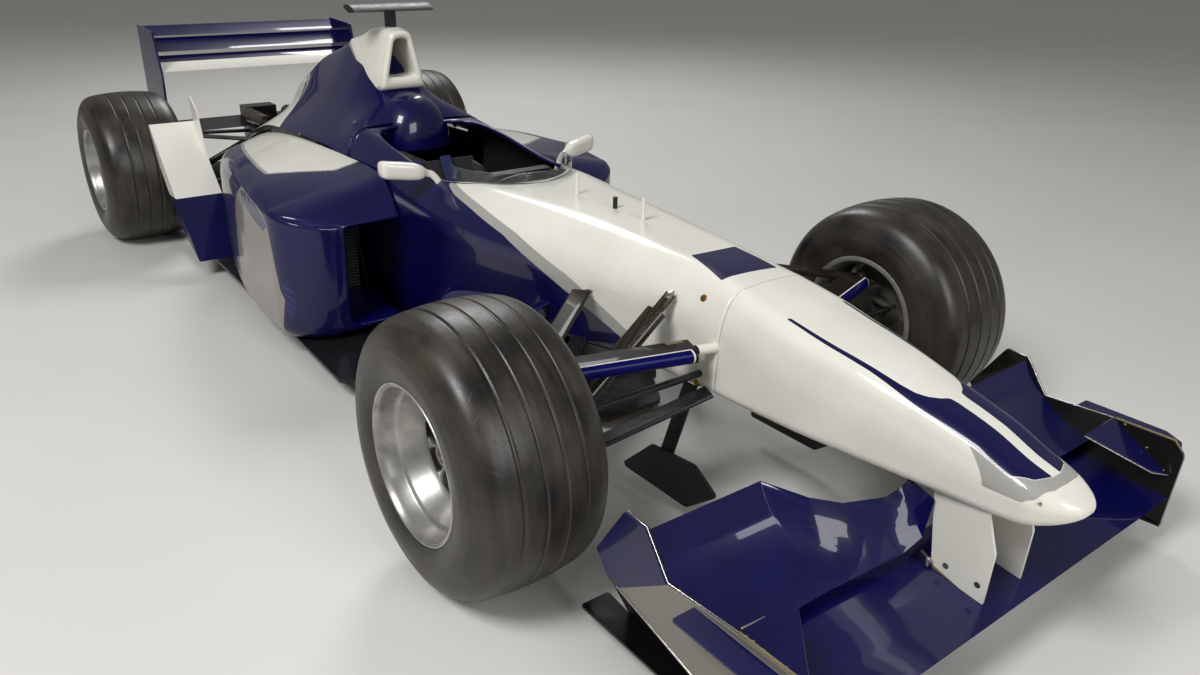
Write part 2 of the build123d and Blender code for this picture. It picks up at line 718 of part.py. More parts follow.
def make_drive():
    engine = slab(TUB_END - ENGINE_LENGTH, TUB_END, -ENGINE_HALF, ENGINE_HALF, FLOOR_TOP, ENGINE_HIGH)
    write(engine, "engine_block")
    write(block_loft(GEARBOX_ROWS, GEARBOX_RADIUS), "gearbox")
    crash = block_loft(CRASH_ROWS, CRASH_RADIUS)
    crash += slab(CRASH_END + 6, CRASH_END + 106, -80, 80, 380, 484)
    crash -= beam_wing()
    side = JACK_PIN_RADIUS + JACK_LUG_WALL
    back, front = JACK_STATION - side, JACK_STATION + side
    crash += slab(back, front, -JACK_LUG_HALF, JACK_LUG_HALF, JACK_HEIGHT - side, JACK_ROOT)
    for sign in (-1, 1):
        origin = (station(JACK_STATION), sign * JACK_LUG_HALF, JACK_HEIGHT)
        start = Plane(origin=origin, x_dir=(1, 0, 0), z_dir=(0, sign, 0))
        crash += extrude(start * Circle(JACK_PIN_RADIUS), amount=JACK_PIN_LENGTH)
    write(crash, "crash_structure")


def make_tub():
    """Hollow tub with an open cockpit, a level deck behind it and rod holes at the rack."""
    outer = hull(TUB_ROWS, TUB_RADII)
    inner_rows = [row_at(TUB_ROWS, LEG_BULKHEAD)]
    inner_rows += [row for row in TUB_ROWS if DECK_START < row[0] < LEG_BULKHEAD]
    inner_rows.append(row_at(TUB_ROWS, DECK_START + TUB_WALL))
    inner = hull(inner_rows, TUB_RADII, TUB_WALL)
    shape = outer - inner
    shoulder = station(COCKPIT_SHOULDER)
    widest = station(COCKPIT_WIDEST)
    rear = station(COCKPIT_REAR)
    near = COCKPIT_HALF - SHOULDER_STEP
    corner = COCKPIT_HALF - CORNER_STEP
    opening = Face(Wire([
        ThreePointArc((shoulder, near), (station(COCKPIT_FRONT), 0), (shoulder, -near)),
        Line((shoulder, -near), (widest, -COCKPIT_HALF)),
        Line((widest, -COCKPIT_HALF), (rear, -corner)),
        Line((rear, -corner), (rear, corner)),
        Line((rear, corner), (widest, COCKPIT_HALF)),
        Line((widest, COCKPIT_HALF), (shoulder, near)),
    ]))
    shape -= extrude(level_plane(OPENING_LOW) * opening, amount=300, dir=(0, 0, 1))
    shape -= slab(TUB_END - 10, DECK_START, -400, 400, DECK_HEIGHT, 900)
    shape -= slab(DECK_START - 1, COCKPIT_REAR + 1, -HEADREST_HALF - 2, HEADREST_HALF + 2, DECK_HEIGHT, 900)
    hole = Plane(origin=(station(STEERING_ARM), -300, RACK_HEIGHT), x_dir=(1, 0, 0), z_dir=(0, 1, 0))
    shape -= extrude(hole * Circle(TRACK_ROD_RADIUS + RUNNING_GAP), amount=600)
    shape += slab(DASH_BACK, DASH_FRONT, -320, 320, DASH_LOW, DASH_HIGH) & outer
    shape -= extrude(column_plane(-COLUMN_LENGTH) * Circle(COLUMN_RADIUS + RUNNING_GAP), amount=COLUMN_LENGTH)
    write(shape, "monocoque")


def make_nose():
    nose = hull(NOSE_ROWS, NOSE_RADII)
    write(nose, "nose_cone")
    outline = ((862, 136), (742, 140), (712, 356), (833, 356), (866, 262))
    pillar = plate(outline, (0, 0, 6, 6, 20), PILLAR_INNER, PILLAR_THICKNESS)
    write(both_sides(pillar - nose - main_plane()), "nose_pillars")


def main_plane():
    """Lower element of the front wing, from tip to tip."""
    half = foil_loft(MAIN_ROWS)
    return half + half.mirror(Plane.XZ)


def winglet():
    """Small ramp inside an end plate, above the main plane, narrower ahead than behind."""
    front = WING_LEAD - 12
    back = front - 152
    side = ((front, 196), (back, 282), (back, 287), (front, 201))
    reach = WING_HALF - WINGLET_REAR_WIDTH
    ramp = plate(side, (0, 0, 0, 0), reach, WING_HALF + 2 - reach)
    outline = (
        (front, WING_HALF + 2), (front, WING_HALF), (front - 23, WING_HALF - WINGLET_FRONT_WIDTH),
        (back, reach), (back, WING_HALF + 2),
    )
    return ramp & level_plate(outline, (0, 0, 0, 0, 0), 150, 200)


def lower_plate():
    """Foot of an end plate: a thin wall that leans inwards to the footplate towards the rear."""
    faces = []
    wall = FOOTPLATE_THICKNESS
    foot_z = FOOTPLATE_LOW + wall / 2
    # station, top z, how far the foot leans in
    for x, top, lean in ((860, 82, 3), (393, 186, FOOTPLATE_IN)):
        foot_y = WING_HALF - lean
        corners = (
            (WING_HALF + SEAT_GAP, top), (WING_HALF + ENDPLATE_THICKNESS, top), (foot_y + wall, foot_z),
            (foot_y, foot_z),
        )
        faces.append(cross_plane(x) * rounded_face(corners, (0, 0, 0, 0)))
    return loft(faces, ruled=True)


def end_plate():
    """Front end plate with its raised rear ear, leaning foot, footplate, outer ledge and winglet."""
    outline = (
        (905, 72), (912, 258), (884, 286), (742, 284), (562, 271), (497, 357), (436, 360), (352, 228),
        (393, 178), (627, 118), (860, 72),
    )
    shape = plate(outline, (6, 30, 30, 40, 12, 6, 6, 4, 4, 0, 4), WING_HALF + SEAT_GAP, ENDPLATE_THICKNESS)
    shape += lower_plate()
    foot = (
        (905, WING_HALF - 4), (905, WING_HALF + FOOTPLATE_OUT), (314, WING_HALF + FOOTPLATE_OUT),
        (314, WING_HALF - FOOTPLATE_IN),
    )
    shape += level_plate(foot, (0, 8, 8, 8), FOOTPLATE_LOW, FOOTPLATE_THICKNESS)
    shape += slab(852, 905, WING_HALF + SEAT_GAP, WING_HALF + ENDPLATE_THICKNESS, FOOTPLATE_LOW, 90)
    base = WING_HALF + ENDPLATE_THICKNESS - 2
    rim_y = base + LEDGE_WIDTH
    ledge = ((900, base), (888, base + LEDGE_WIDTH / 2), (840, rim_y), (640, rim_y), (640, base))
    shape += level_plate(ledge, (0, 10, 20, 6, 0), LEDGE_HEIGHT, LEDGE_THICKNESS)
    return shape + winglet()


def make_front_wing():
    write(main_plane(), "front_wing_main")
    write(both_sides(foil_loft(FLAP_ROWS)), "front_wing_flaps")
    write(both_sides(end_plate()), "front_wing_endplates")


def mouth_face(x, inset):
    """Outline of the pod's inlet at a station, pulled in by a wall."""
    inner, low, outer, high, inner_high = POD_MOUTH
    corners = (
        (inner + inset, low + inset), (outer - inset, low + inset), (outer - inset - 6, high - inset),
        (inner + inset, inner_high - inset),
    )
    radius = POD_MOUTH_RADIUS - inset
    return cross_plane(x) * rounded_face(corners, (0, radius, radius, 0))


def pod_section(x, low, outer, outer_top, inner_top):
    """Section of a pod between the tub and its outer side."""
    corners = ((POD_INNER, low), (outer, low), (outer, outer_top), (POD_INNER, inner_top))
    return cross_plane(x) * rounded_face(corners, (0, POD_SIDE_RADIUS, POD_TOP_RADIUS, 0))


def sidepod_shape():
    """Pod whose front rolls in to the lip of its inlet, with the duct behind it.

    Over the roll the sides move in as on a quarter circle and the top comes down ever steeper."""
    mouth_inner, mouth_low, mouth_outer, mouth_high, mouth_inner_high = POD_MOUTH
    front = POD_LIP - POD_ROLL
    widest = POD_ROWS[0]
    faces = []
    for turn in ROLL_TURNS:
        u = math.sin(math.radians(turn))
        side = 1 - math.cos(math.radians(turn))
        top = u ** ROLL_POWER
        outer = widest[1] + (mouth_outer - widest[1]) * side
        low = FLOOR_TOP + (mouth_low - FLOOR_TOP) * side
        outer_top = widest[2] + (mouth_high - widest[2]) * top
        inner_top = widest[3] + (mouth_inner_high - widest[3]) * top
        faces.append(pod_section(front + POD_ROLL * u, low, outer, outer_top, inner_top))
    for share, outer, outer_top, inner_top in POD_ROWS:
        x = front + share * (POD_TAIL - front)
        faces.append(pod_section(x, FLOOR_TOP, outer, outer_top, inner_top))
    return loft(faces, ruled=True)


def make_side_pods():
    duct = extrude(mouth_face(POD_LIP + 1, POD_WALL), amount=DUCT_DEPTH, dir=(-1, 0, 0))
    pod = sidepod_shape() - duct
    write(pod, "sidepod_left")
    write(pod.mirror(Plane.XZ), "sidepod_right")
    core = extrude(mouth_face(POD_LIP - CORE_PLACE, POD_WALL), amount=CORE_THICKNESS, dir=(-1, 0, 0))
    write(both_sides(core), "radiators")


def cover_shape():
    """Engine cover from the headrest to the tail, level with the deck where it lies on the tub."""
    faces = []
    for share, edge_half, edge_z, waist_half, waist_z, top_half, top_z in COVER_ROWS:
        half = (
            (edge_half, COVER_LOW),
            (edge_half, edge_z),
            (waist_half, waist_z),
            (top_half, top_z),
        )
        corners = [*half, *[(-y, z) for y, z in reversed(half)]]
        x = DECK_START + share * (COVER_TAIL - DECK_START)
        faces.append(cross_plane(x) * rounded_face(corners, (0, 4, 26, 14, 14, 26, 4, 0)))
    cover = loft(faces, ruled=True)
    return cover - slab(TUB_END, DECK_START + 50, -400, 400, COVER_LOW - 5, DECK_HEIGHT)


def headrest():
    """Blunt rounded bulge behind the driver's head, each section shrunk as on a superellipse."""
    faces = []
    for turn in HEADREST_TURNS:
        angle = math.radians(turn)
        ahead = math.sin(angle) ** (2 / HEADREST_POWER)
        shrink = math.cos(angle) ** (2 / HEADREST_POWER)
        half = HEADREST_HALF * shrink
        top = DECK_HEIGHT + HEADREST_HEIGHT * shrink
        corners = ((-half, DECK_HEIGHT), (half, DECK_HEIGHT), (0.93 * half, top), (-0.93 * half, top))
        radius = 0.72 * half
        section = rounded_face(corners, (0, 0, radius, radius))
        faces.append(cross_plane(HEADREST_STATION + HEADREST_LENGTH * ahead) * section)
    return loft(faces, ruled=True)


def make_engine_cover():
    airbox = hull(AIRBOX_ROWS, AIRBOX_RADII)
    write(cover_shape() + headrest() - airbox, "engine_cover")
    mouth = cross_plane(AIRBOX_ROWS[0][0] + 1) * rounded_face(INLET, INLET_RADII)
    write(airbox - extrude(mouth, amount=INLET_DEPTH, dir=(-1, 0, 0)), "airbox")


def floor_shape():
    rear_edge = REAR_AXLE + 250
    edge = ((-956, 662), (-1745, 636), (rear_edge, 610), (rear_edge, 505), (REAR_AXLE, 505))
    outline = [(-820, 300), *edge, *[(x, -y) for x, y in reversed(edge)], (-820, -300)]
    radii = (40, 30, 40, 20, 20, 0, 0, 20, 20, 40, 30, 40)
    step_low = FLOOR_TOP - FLOOR_THICKNESS
    step = level_plate(outline, radii, step_low, FLOOR_THICKNESS)
    keel = slab(REAR_AXLE, -560, -REFERENCE_HALF, REFERENCE_HALF, REFERENCE_PLANE, step_low)
    tray = ((-330, 110), (-560, REFERENCE_HALF), (-560, -REFERENCE_HALF), (-330, -110))
    return step + keel + level_plate(tray, (40, 0, 0, 40), REFERENCE_PLANE, FLOOR_THICKNESS + 2)


def make_floor():
    write(floor_shape(), "floor")
    back = REAR_AXLE + 5
    plank = (
        (-335, 80), (-420, PLANK_HALF), (back, PLANK_HALF), (back, -PLANK_HALF), (-420, -PLANK_HALF),
        (-335, -80),
    )
    low = REFERENCE_PLANE - PLANK_THICKNESS
    write(level_plate(plank, (20, 20, 0, 0, 20, 20), low, PLANK_THICKNESS), "plank")
    low = FLOOR_TOP - FLOOR_THICKNESS
    end = REAR_AXLE - 350
    roof = ((REAR_AXLE, low), (REAR_AXLE, FLOOR_TOP), (end, 224), (end, 212))
    shape = plate(roof, (0, 0, 0, 0), -DIFFUSER_HALF, 2 * DIFFUSER_HALF)
    side = ((REAR_AXLE, low), (end, 212), (end, 110), (REAR_AXLE - 100, low))
    for y in (-DIFFUSER_HALF, -330, -PLANK_HALF):
        fence = plate(side, (0, 0, 0, 0), y, FENCE_THICKNESS)
        shape += fence
        shape += fence.mirror(Plane.XZ)
    write(shape, "diffuser")


def beam_wing():
    """Lower rear element between the end plates."""
    section = foil_face((REAR_END + 234, 398), (CRASH_END, 430), 18, -10)
    return extrude(side_plane(-REAR_WING_HALF) * section, amount=2 * REAR_WING_HALF, dir=(0, 1, 0))


def make_rear_wing():
    # leading distance from the rear end and z, trailing distance and z, thickness, camber
    rows = (
        (324, 705, 144, 760, 16, -16),
        (152, 778, 66, 836, 9, -8),
        (78, 846, 12, 890, 7, -5),
    )
    half = REAR_WING_HALF
    elements = []
    for lead, lead_z, tail, tail_z, thickness, camber in rows:
        section = foil_face((REAR_END + lead, lead_z), (REAR_END + tail, tail_z), thickness, camber)
        elements += extrude(side_plane(-half) * section, amount=2 * half, dir=(0, 1, 0)).solids()
    write(Compound(elements), "rear_wing_upper")
    write(beam_wing(), "rear_wing_beam")
    outline = ((304, 300), (334, 690), (268, 884), (0, 896), (0, 560), (74, 300))
    outline = [(REAR_END + x, z) for x, z in outline]
    end = plate(outline, (20, 20, 10, 6, 40, 20), half + SEAT_GAP, ENDPLATE_THICKNESS)
    write(both_sides(end), "rear_wing_endplates")


def column_plane(along=0.0):
    """Plane across the steering column, its z axis pointing back and up at the driver."""
    tilt = math.radians(COLUMN_TILT)
    axis = Vector(-math.cos(tilt), 0, math.sin(tilt))
    return Plane(origin=place(WHEEL_CENTRE) + axis * along, x_dir=(0, 1, 0), z_dir=axis)


def make_steering_wheel():
    face = RectangleRounded(GRIP_WIDTH, GRIP_HEIGHT, 40)
    for side in (-1, 1):
        face -= Pos(side * HAND_PLACE, 0) * SlotOverall(104, 34, rotation=90)
    shape = extrude(column_plane(-GRIP_THICKNESS / 2) * face, amount=GRIP_THICKNESS)
    shape += extrude(column_plane(-COLUMN_LENGTH) * Circle(COLUMN_RADIUS), amount=COLUMN_LENGTH)
    write(shape, "steering_wheel")


def make_seat():
    base = FLOOR_TOP + TUB_WALL + SEAT_GAP
    outline = (
        (-1040, 252), (-1040, 228), (-1272, base), (-1352, base), (-1606, 545), (-1582, 556), (-1336, 118),
        (-1284, 118),
    )
    pan = plate(outline, (8, 8, 40, 40, 8, 8, 30, 30), -SEAT_HALF, 2 * SEAT_HALF)
    wing = ((-1060, 240), (-1276, 104), (-1350, 104), (-1596, 540), (-1500, 530), (-1340, 330), (-1120, 300))
    for side in (-SEAT_HALF, SEAT_HALF - SEAT_SIDE):
        pan += plate(wing, (20, 10, 20, 10, 40, 120, 30), side, SEAT_SIDE)
    write(pan, "seat")


def make_cockpit_trim():
    outer = hull(TUB_ROWS, TUB_RADII)
    back = (station(-1030), 205)
    tip = station(-803)
    arc = ThreePointArc(back, (tip, 0), (back[0], -back[1]))
    inside = ThreePointArc((back[0], -back[1] + 4), (tip - 4, 0), (back[0], back[1] - 4))
    ends = [Line(arc @ 1, inside @ 0), Line(inside @ 1, arc @ 0)]
    sheet = Face(Wire([arc, ends[0], inside, ends[1]]))
    write(extrude(level_plane(590) * sheet, amount=86, dir=(0, 0, 1)) - outer, "windscreen")
    # station, width, height, corner radius of the mirror's body
    body = ((-1130, 165, 58, 26), (-1086, 150, 54, 24), (-1050, 92, 32, 14))
    sections = []
    for x, wide, tall, radius in body:
        sections.append(cross_plane(x) * (Pos(345, 655) * RectangleRounded(wide, tall, radius)))
    pod = loft(sections, ruled=True)
    stalk = bar((-1062, 226, 598), (-1088, 330, 648), 34, 12)
    write(both_sides((pod + stalk) - outer), "mirrors")
    # station, radius, top z of the pins on the nose's middle line
    pins = []
    for x, radius, top in ((-446, 7, 674), (-631, 6, 704), (-321, 6, 698)):
        pin = Pos(station(x), 0, (590 + top) / 2) * Cylinder(radius, top - 590)
        pins += (pin - outer).solids()
    write(Compound(pins), "aerials")


def make_camera_pod():
    blade = slab(-1862, -1800, -9, 9, 990, 1076) - hull(AIRBOX_ROWS, AIRBOX_RADII)
    section = foil_face((-1786, 1080), (-1884, 1092), 26, 0)
    wing = extrude(side_plane(-160) * section, amount=320, dir=(0, 1, 0))
    write(blade + wing, "camera_pod")


def make_vanes():
    outer = hull(TUB_ROWS, TUB_RADII) + hull(NOSE_ROWS, NOSE_RADII)
    outline = ((272, 142), (191, 192), (31, 175), (-89, 60), (170, 60))
    vane = plate(outline, (10, 30, 20, 10, 30), 236, 6)
    strut = bar((78, 156, 360), (78, 238, 150), 46, 8, across=(0, 1, 0))
    write(both_sides((vane + strut) - outer), "turning_vanes")
    arc = ThreePointArc((station(-400), 300), (station(-600), 352), (station(-800), 505))
    inside = ThreePointArc((station(-804), 500), (station(-602), 346), (station(-400), 294))
    band = Face(Wire([arc, Line(arc @ 1, inside @ 0), inside, Line(inside @ 1, arc @ 0)]))
    board = extrude(level_plane(60) * band, amount=360, dir=(0, 0, 1))
    side = ((-396, 60), (-396, 330), (-520, 420), (-700, 400), (-806, 200), (-806, 60))
    board &= plate(side, (40, 60, 30, 60, 30, 20), 200, 400)
    board += bar((-470, 200, 400), (-470, 312, 372), 30, 10)
    board += bar((-640, 200, 240), (-640, 366, 200), 30, 10)
    write(both_sides(board - outer), "bargeboards")


def make_flip_ups():
    """Curved ramps ahead of the rear tyres, each with an outer side plate and an inner fin."""
    front = REAR_AXLE + 770
    rear = REAR_AXLE + 268
    middle = (front + rear) / 2
    bend = station(middle + 21)
    upper = ThreePointArc((station(front), FLOOR_TOP), (bend, 285), (station(rear), FLIP_TOP))
    low_tip, low_foot = (station(rear - 8), FLIP_TOP - 4), (station(front - 15), FLOOR_TOP)
    lower = ThreePointArc(low_tip, (bend - 7, 279), low_foot)
    face = Face(Wire([upper, Line(upper @ 1, lower @ 0), lower, Line(lower @ 1, upper @ 0)]))
    shape = extrude(side_plane(FLIP_INNER) * face, amount=FLIP_OUTER - FLIP_INNER, dir=(0, 1, 0))
    side = (
        (front, FLOOR_TOP + 2), (middle + 21, 283), (rear, FLIP_TOP), (rear + 76, 390), (middle + 21, 180),
    )
    shape += plate(side, (0, 0, 0, 10, 10), FLIP_OUTER, 6)
    fin = ((rear + 130, 424), (rear + 72, 612), (rear - 26, 674), (rear + 4, 548))
    shape += plate(fin, (0, 30, 10, 0), FLIP_INNER, 5)
    pod = sidepod_shape()
    write(both_sides(shape - pod - floor_shape()), "flip_ups")


def make_tail():
    height = GEARBOX_TOP + EXHAUST_RADIUS + SEAT_GAP
    tube = Cylinder(EXHAUST_RADIUS, EXHAUST_LENGTH) - Cylinder(EXHAUST_RADIUS - EXHAUST_WALL, EXHAUST_LENGTH)
    pipe = Pos(station(REAR_AXLE - 120), 100, height) * Rot(0, 90, 0) * tube
    write(both_sides(pipe), "exhaust_pipes")
    write(slab(CRASH_END - 36, CRASH_END, -50, 50, 290, 360), "rain_light")


def main():
    make_tub()
    make_nose()
    make_front_wing()
    make_side_pods()
    make_engine_cover()
    make_floor()
    make_drive()
    make_rear_wing()
    make_front_suspension()
    make_rear_suspension()
    make_uprights()
    make_rack()
    make_wheels()
    make_steering_wheel()
    make_seat()
    make_cockpit_trim()
    make_camera_pod()
    make_vanes()
    make_flip_ups()
    make_tail()


main()
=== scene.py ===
"""Open wheel racing car: skins, wheels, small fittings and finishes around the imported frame.

Sizes in the tables are millimetres. Stations run along the car from the front axle, forward
positive, as on a works drawing. Y is the car's left and Z is up from the ground.
"""

import json
import math

import bmesh
import bpy
import numpy as np
from mathutils import Matrix, Vector


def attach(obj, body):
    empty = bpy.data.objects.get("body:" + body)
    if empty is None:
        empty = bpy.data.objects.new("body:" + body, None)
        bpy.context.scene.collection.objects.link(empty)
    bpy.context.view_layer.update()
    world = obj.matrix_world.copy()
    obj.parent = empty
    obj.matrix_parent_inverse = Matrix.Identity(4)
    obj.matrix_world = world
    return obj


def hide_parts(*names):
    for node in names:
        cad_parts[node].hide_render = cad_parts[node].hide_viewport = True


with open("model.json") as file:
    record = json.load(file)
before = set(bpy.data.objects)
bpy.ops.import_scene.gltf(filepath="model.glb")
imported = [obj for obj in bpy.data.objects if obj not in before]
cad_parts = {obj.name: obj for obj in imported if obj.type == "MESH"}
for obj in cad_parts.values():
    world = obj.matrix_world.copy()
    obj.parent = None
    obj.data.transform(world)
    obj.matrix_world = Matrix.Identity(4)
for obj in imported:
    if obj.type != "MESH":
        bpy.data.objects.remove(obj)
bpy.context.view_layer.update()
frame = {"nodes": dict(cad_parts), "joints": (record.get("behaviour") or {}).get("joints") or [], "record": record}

bl_info = {
    "name": "Open wheel racing car",
    "version": (1, 0, 0),
    "blender": (4, 5, 0),
    "location": "3D View > Sidebar > Racing car",
    "description": "Dresses the packed racing car with its body skins, wheels, fittings and paint",
    "category": "Add Mesh",
}

MM = 0.001
OVERALL_HALF = 900


def joint_place(name):
    """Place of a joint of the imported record, in metres."""
    for joint in frame["joints"]:
        if joint["name"] == name:
            return np.array(joint["pos_m"])
    raise KeyError(name)


AXLE_X = joint_place("spin_front_left")[0]
BODY_OF = {node: body for body, nodes in frame["record"]["behaviour"]["bodies"].items() for node in nodes}
FINISHES = {}


def linear(code):
    """Linear colour of an sRGB hex value."""
    parts = [int(code[i:i + 2], 16) / 255 for i in (1, 3, 5)]
    return tuple(c / 12.92 if c <= 0.04045 else ((c + 0.055) / 1.055) ** 2.4 for c in parts)


class BodyColours(bpy.types.PropertyGroup):
    """Colours of the painted skins."""

    white: bpy.props.FloatVectorProperty(
        name="White", description="Warm white of the nose and tub", subtype="COLOR",
        size=3, min=0, max=1, default=linear("#E4E2D8"))
    navy: bpy.props.FloatVectorProperty(
        name="Navy", description="Deep blue of the rear bodywork and wings", subtype="COLOR",
        size=3, min=0, max=1, default=linear("#09094E"))
    silver: bpy.props.FloatVectorProperty(
        name="Silver", description="Silver grey of the side panels", subtype="COLOR",
        size=3, min=0, max=1, default=linear("#7E7873"))
    grey: bpy.props.FloatVectorProperty(
        name="Grey", description="Grey of the trim lines", subtype="COLOR",
        size=3, min=0, max=1, default=linear("#9F9D98"))


class WheelSizes(bpy.types.PropertyGroup):
    """Sizes of the tyres and rims."""

    groove: bpy.props.FloatProperty(
        name="Groove depth", description="Depth of the tread grooves", subtype="DISTANCE", unit="LENGTH",
        min=0, max=0.006, default=0.0028)
    turns: bpy.props.IntProperty(
        name="Steps round", description="Faces round each tyre", min=48, max=256, default=160)


class Studio(bpy.types.PropertyGroup):
    """Camera and light."""

    lens: bpy.props.FloatProperty(
        name="Lens", description="Focal length for a 36 mm wide sensor, in millimetres",
        min=10, max=200, default=28.048)
    key: bpy.props.FloatProperty(
        name="Key light", description="Power of the large lamp ahead and above", min=0,
        unit="POWER", default=330)


def at(x, y, z):
    """Row frame place in metres of a place given from the front axle in millimetres."""
    return np.array([AXLE_X + x * MM, y * MM, z * MM])


def along(points):
    """Places in metres of an array of stations, sideways places and heights."""
    return np.asarray(points, float) * MM + np.array([AXLE_X, 0, 0])


def turns(count):
    """Angles of even steps round a circle."""
    return np.arange(count) * math.tau / count


# Materials

NAVY_SHADE = linear("#05052C")
PALE = linear("#D5D3C8")
OLIVE = linear("#6E6648")
BLACK = linear("#0B0B0C")
# One wave of the wave texture is this long at a scale of one
WAVE_PERIOD = math.tau / 20
STRIPE_STEP = 24.166
STRIPE_LEAN_DEG = -28
FAIRING_SHINE = 0.15


def add(tree, kind, inputs=None, **settings):
    """Adds a node, sets its properties, then sets or links each named or numbered input."""
    node = tree.nodes.new(kind)
    for name, value in settings.items():
        setattr(node, name, value)
    for name, value in (inputs or {}).items():
        socket = node.inputs[name]
        if isinstance(value, bpy.types.NodeSocket):
            tree.links.new(value, socket)
        elif socket.type == "RGBA":
            socket.default_value = (*value[:3], 1)
        else:
            socket.default_value = value
    return node


def start(name):
    """Empty material, its tree and the place on the object in metres."""
    material = bpy.data.materials.new(name)
    material.use_nodes = True
    tree = material.node_tree
    tree.nodes.clear()
    return material, tree, add(tree, "ShaderNodeTexCoord").outputs["Object"]


def pitch(size_mm):
    """Texture scale that gives a feature of a size in millimetres."""
    return 1 / (size_mm * MM)


def surface(tree, **inputs):
    """Ends a material with its shader, an underscore in a name standing for a space."""
    values = {name.replace("_", " "): value for name, value in inputs.items()}
    shader = add(tree, "ShaderNodeBsdfPrincipled", values)
    add(tree, "ShaderNodeOutputMaterial", {"Surface": shader.outputs[0]})


def lacquer_skin(tree, place):
    """Sprayed and polished coat: faint orange peel, fine dust that dulls it, and slow hand marks.

    Returns the marks, the roughness and the normal."""
    peel = add(tree, "ShaderNodeTexNoise", {"Vector": place, "Scale": pitch(14), "Detail": 2.0}).outputs[0]
    dust = add(tree, "ShaderNodeTexNoise", {"Vector": place, "Scale": pitch(0.9), "Detail": 2.0}).outputs[0]
    marks = add(tree, "ShaderNodeTexNoise", {"Vector": place, "Scale": pitch(120), "Detail": 5.0}).outputs[0]
    dull = add(tree, "ShaderNodeMath", {0: dust, 1: marks}, operation="MULTIPLY").outputs[0]
    rough = add(tree, "ShaderNodeMapRange", {
        "Value": dull, "From Min": 0.15, "From Max": 0.45, "To Min": 0.3, "To Max": 0.42}).outputs[0]
    normal = add(tree, "ShaderNodeBump", {"Height": peel, "Distance": 0.012 * MM}).outputs[0]
    return marks, rough, normal


def painted(name, ground, second, zones, shine=0.7):
    """Two pack lacquer masked and sprayed in zones under one clear coat, which gives sharp lamps.

    The ground colour changes slowly to its second shade under dust. zones gives a list of pairs of
    the distance inside a zone in metres and a colour, each sprayed over those before it. The masks
    leave an edge less than 1 mm wide."""
    material, tree, place = start(name)
    marks, rough, normal = lacquer_skin(tree, place)
    colour = add(tree, "ShaderNodeMix", {0: marks, 6: second, 7: ground}, data_type="RGBA").outputs[2]
    for inside, over in zones(tree, place, marks):
        sharp = add(tree, "ShaderNodeMapRange", {
            "Value": inside, "From Min": -0.4 * MM, "From Max": 0.4 * MM}).outputs[0]
        colour = add(tree, "ShaderNodeMix", {0: sharp, 6: colour, 7: over}, data_type="RGBA").outputs[2]
    surface(
        tree, Base_Color=colour, Roughness=rough, Normal=normal, Specular_IOR_Level=0.25 * shine,
        Coat_Weight=shine, Coat_Roughness=0.04)
    return material


def body_zones(tree, place, marks):
    """Zones stored on a skin: white, silver with its flake, pale and faint stripes and grey trim.

    The stripes are waves along a leaning direction, a little bent, cut to bands with soft edges."""
    colours = bpy.context.scene.car_colours
    shade = add(tree, "ShaderNodeMapRange", {"Value": marks, "From Min": 0.3, "From Max": 0.8}).outputs[0]
    grain = add(tree, "ShaderNodeTexNoise", {"Vector": place, "Scale": pitch(0.6), "Detail": 1.0}).outputs[0]
    flake = add(tree, "ShaderNodeMapRange", {"Value": grain, "From Min": 0.35, "From Max": 0.7}).outputs[0]
    leaning = add(tree, "ShaderNodeMapping", {
        "Vector": place, "Rotation": (0, math.radians(STRIPE_LEAN_DEG), 0)}).outputs[0]
    waves = add(
        tree, "ShaderNodeTexWave", {
            "Vector": leaning, "Scale": WAVE_PERIOD * pitch(STRIPE_STEP), "Distortion": 1.6, "Detail": 1.0,
            "Detail Scale": 0.8},
        wave_type="BANDS", bands_direction="Z", wave_profile="SIN").outputs["Fac"]
    line = add(tree, "ShaderNodeMapRange", {"Value": waves, "From Min": 0.42, "From Max": 0.58}).outputs[0]
    zones = []
    for zone, share, first, second in (
        ("white_zone", shade, tuple(colours.white), linear("#DAD8CC")),
        ("silver_zone", flake, tuple(colours.silver), linear("#918C87")),
        ("stripe_zone", line, linear("#262C48"), linear("#565C70")),
        ("faint_zone", line, linear("#0B0B44"), linear("#20245C")),
    ):
        over = add(tree, "ShaderNodeMix", {0: share, 6: first, 7: second}, data_type="RGBA").outputs[2]
        zones.append((add(tree, "ShaderNodeAttribute", attribute_name=zone).outputs["Fac"], over))
    trim = add(tree, "ShaderNodeAttribute", attribute_name="grey_zone").outputs["Fac"]
    return [*zones, (trim, tuple(colours.grey))]


def no_zones(tree, place, marks):
    """No zones: the ground colour all over."""
    return []


def plan_zones(*pairs):
    """Zones bounded by flat faces, from pairs of a colour and its faces.

    Each face is a station, a sideways place and a height in millimetres, and the direction that leads
    into the zone. Sideways places count from the middle line on both sides."""
    def make(tree, place, marks):
        split = add(tree, "ShaderNodeSeparateXYZ", {0: place})
        side = add(tree, "ShaderNodeMath", {0: split.outputs[1]}, operation="ABSOLUTE").outputs[0]
        folded = add(tree, "ShaderNodeCombineXYZ", {
            0: split.outputs[0], 1: side, 2: split.outputs[2]}).outputs[0]
        zones = []
        for colour, faces in pairs:
            inside = None
            for spot, into in faces:
                direction = np.array(into, float) / np.linalg.norm(into)
                away = add(tree, "ShaderNodeVectorMath", {
                    0: folded, 1: tuple(direction)}, operation="DOT_PRODUCT").outputs["Value"]
                reach = float(direction @ at(*spot))
                step = add(tree, "ShaderNodeMath", {0: away, 1: reach}, operation="SUBTRACT").outputs[0]
                if inside is not None:
                    step = add(tree, "ShaderNodeMath", {0: inside, 1: step}, operation="MINIMUM").outputs[0]
                inside = step
            zones.append((inside, colour))
        return zones
    return make


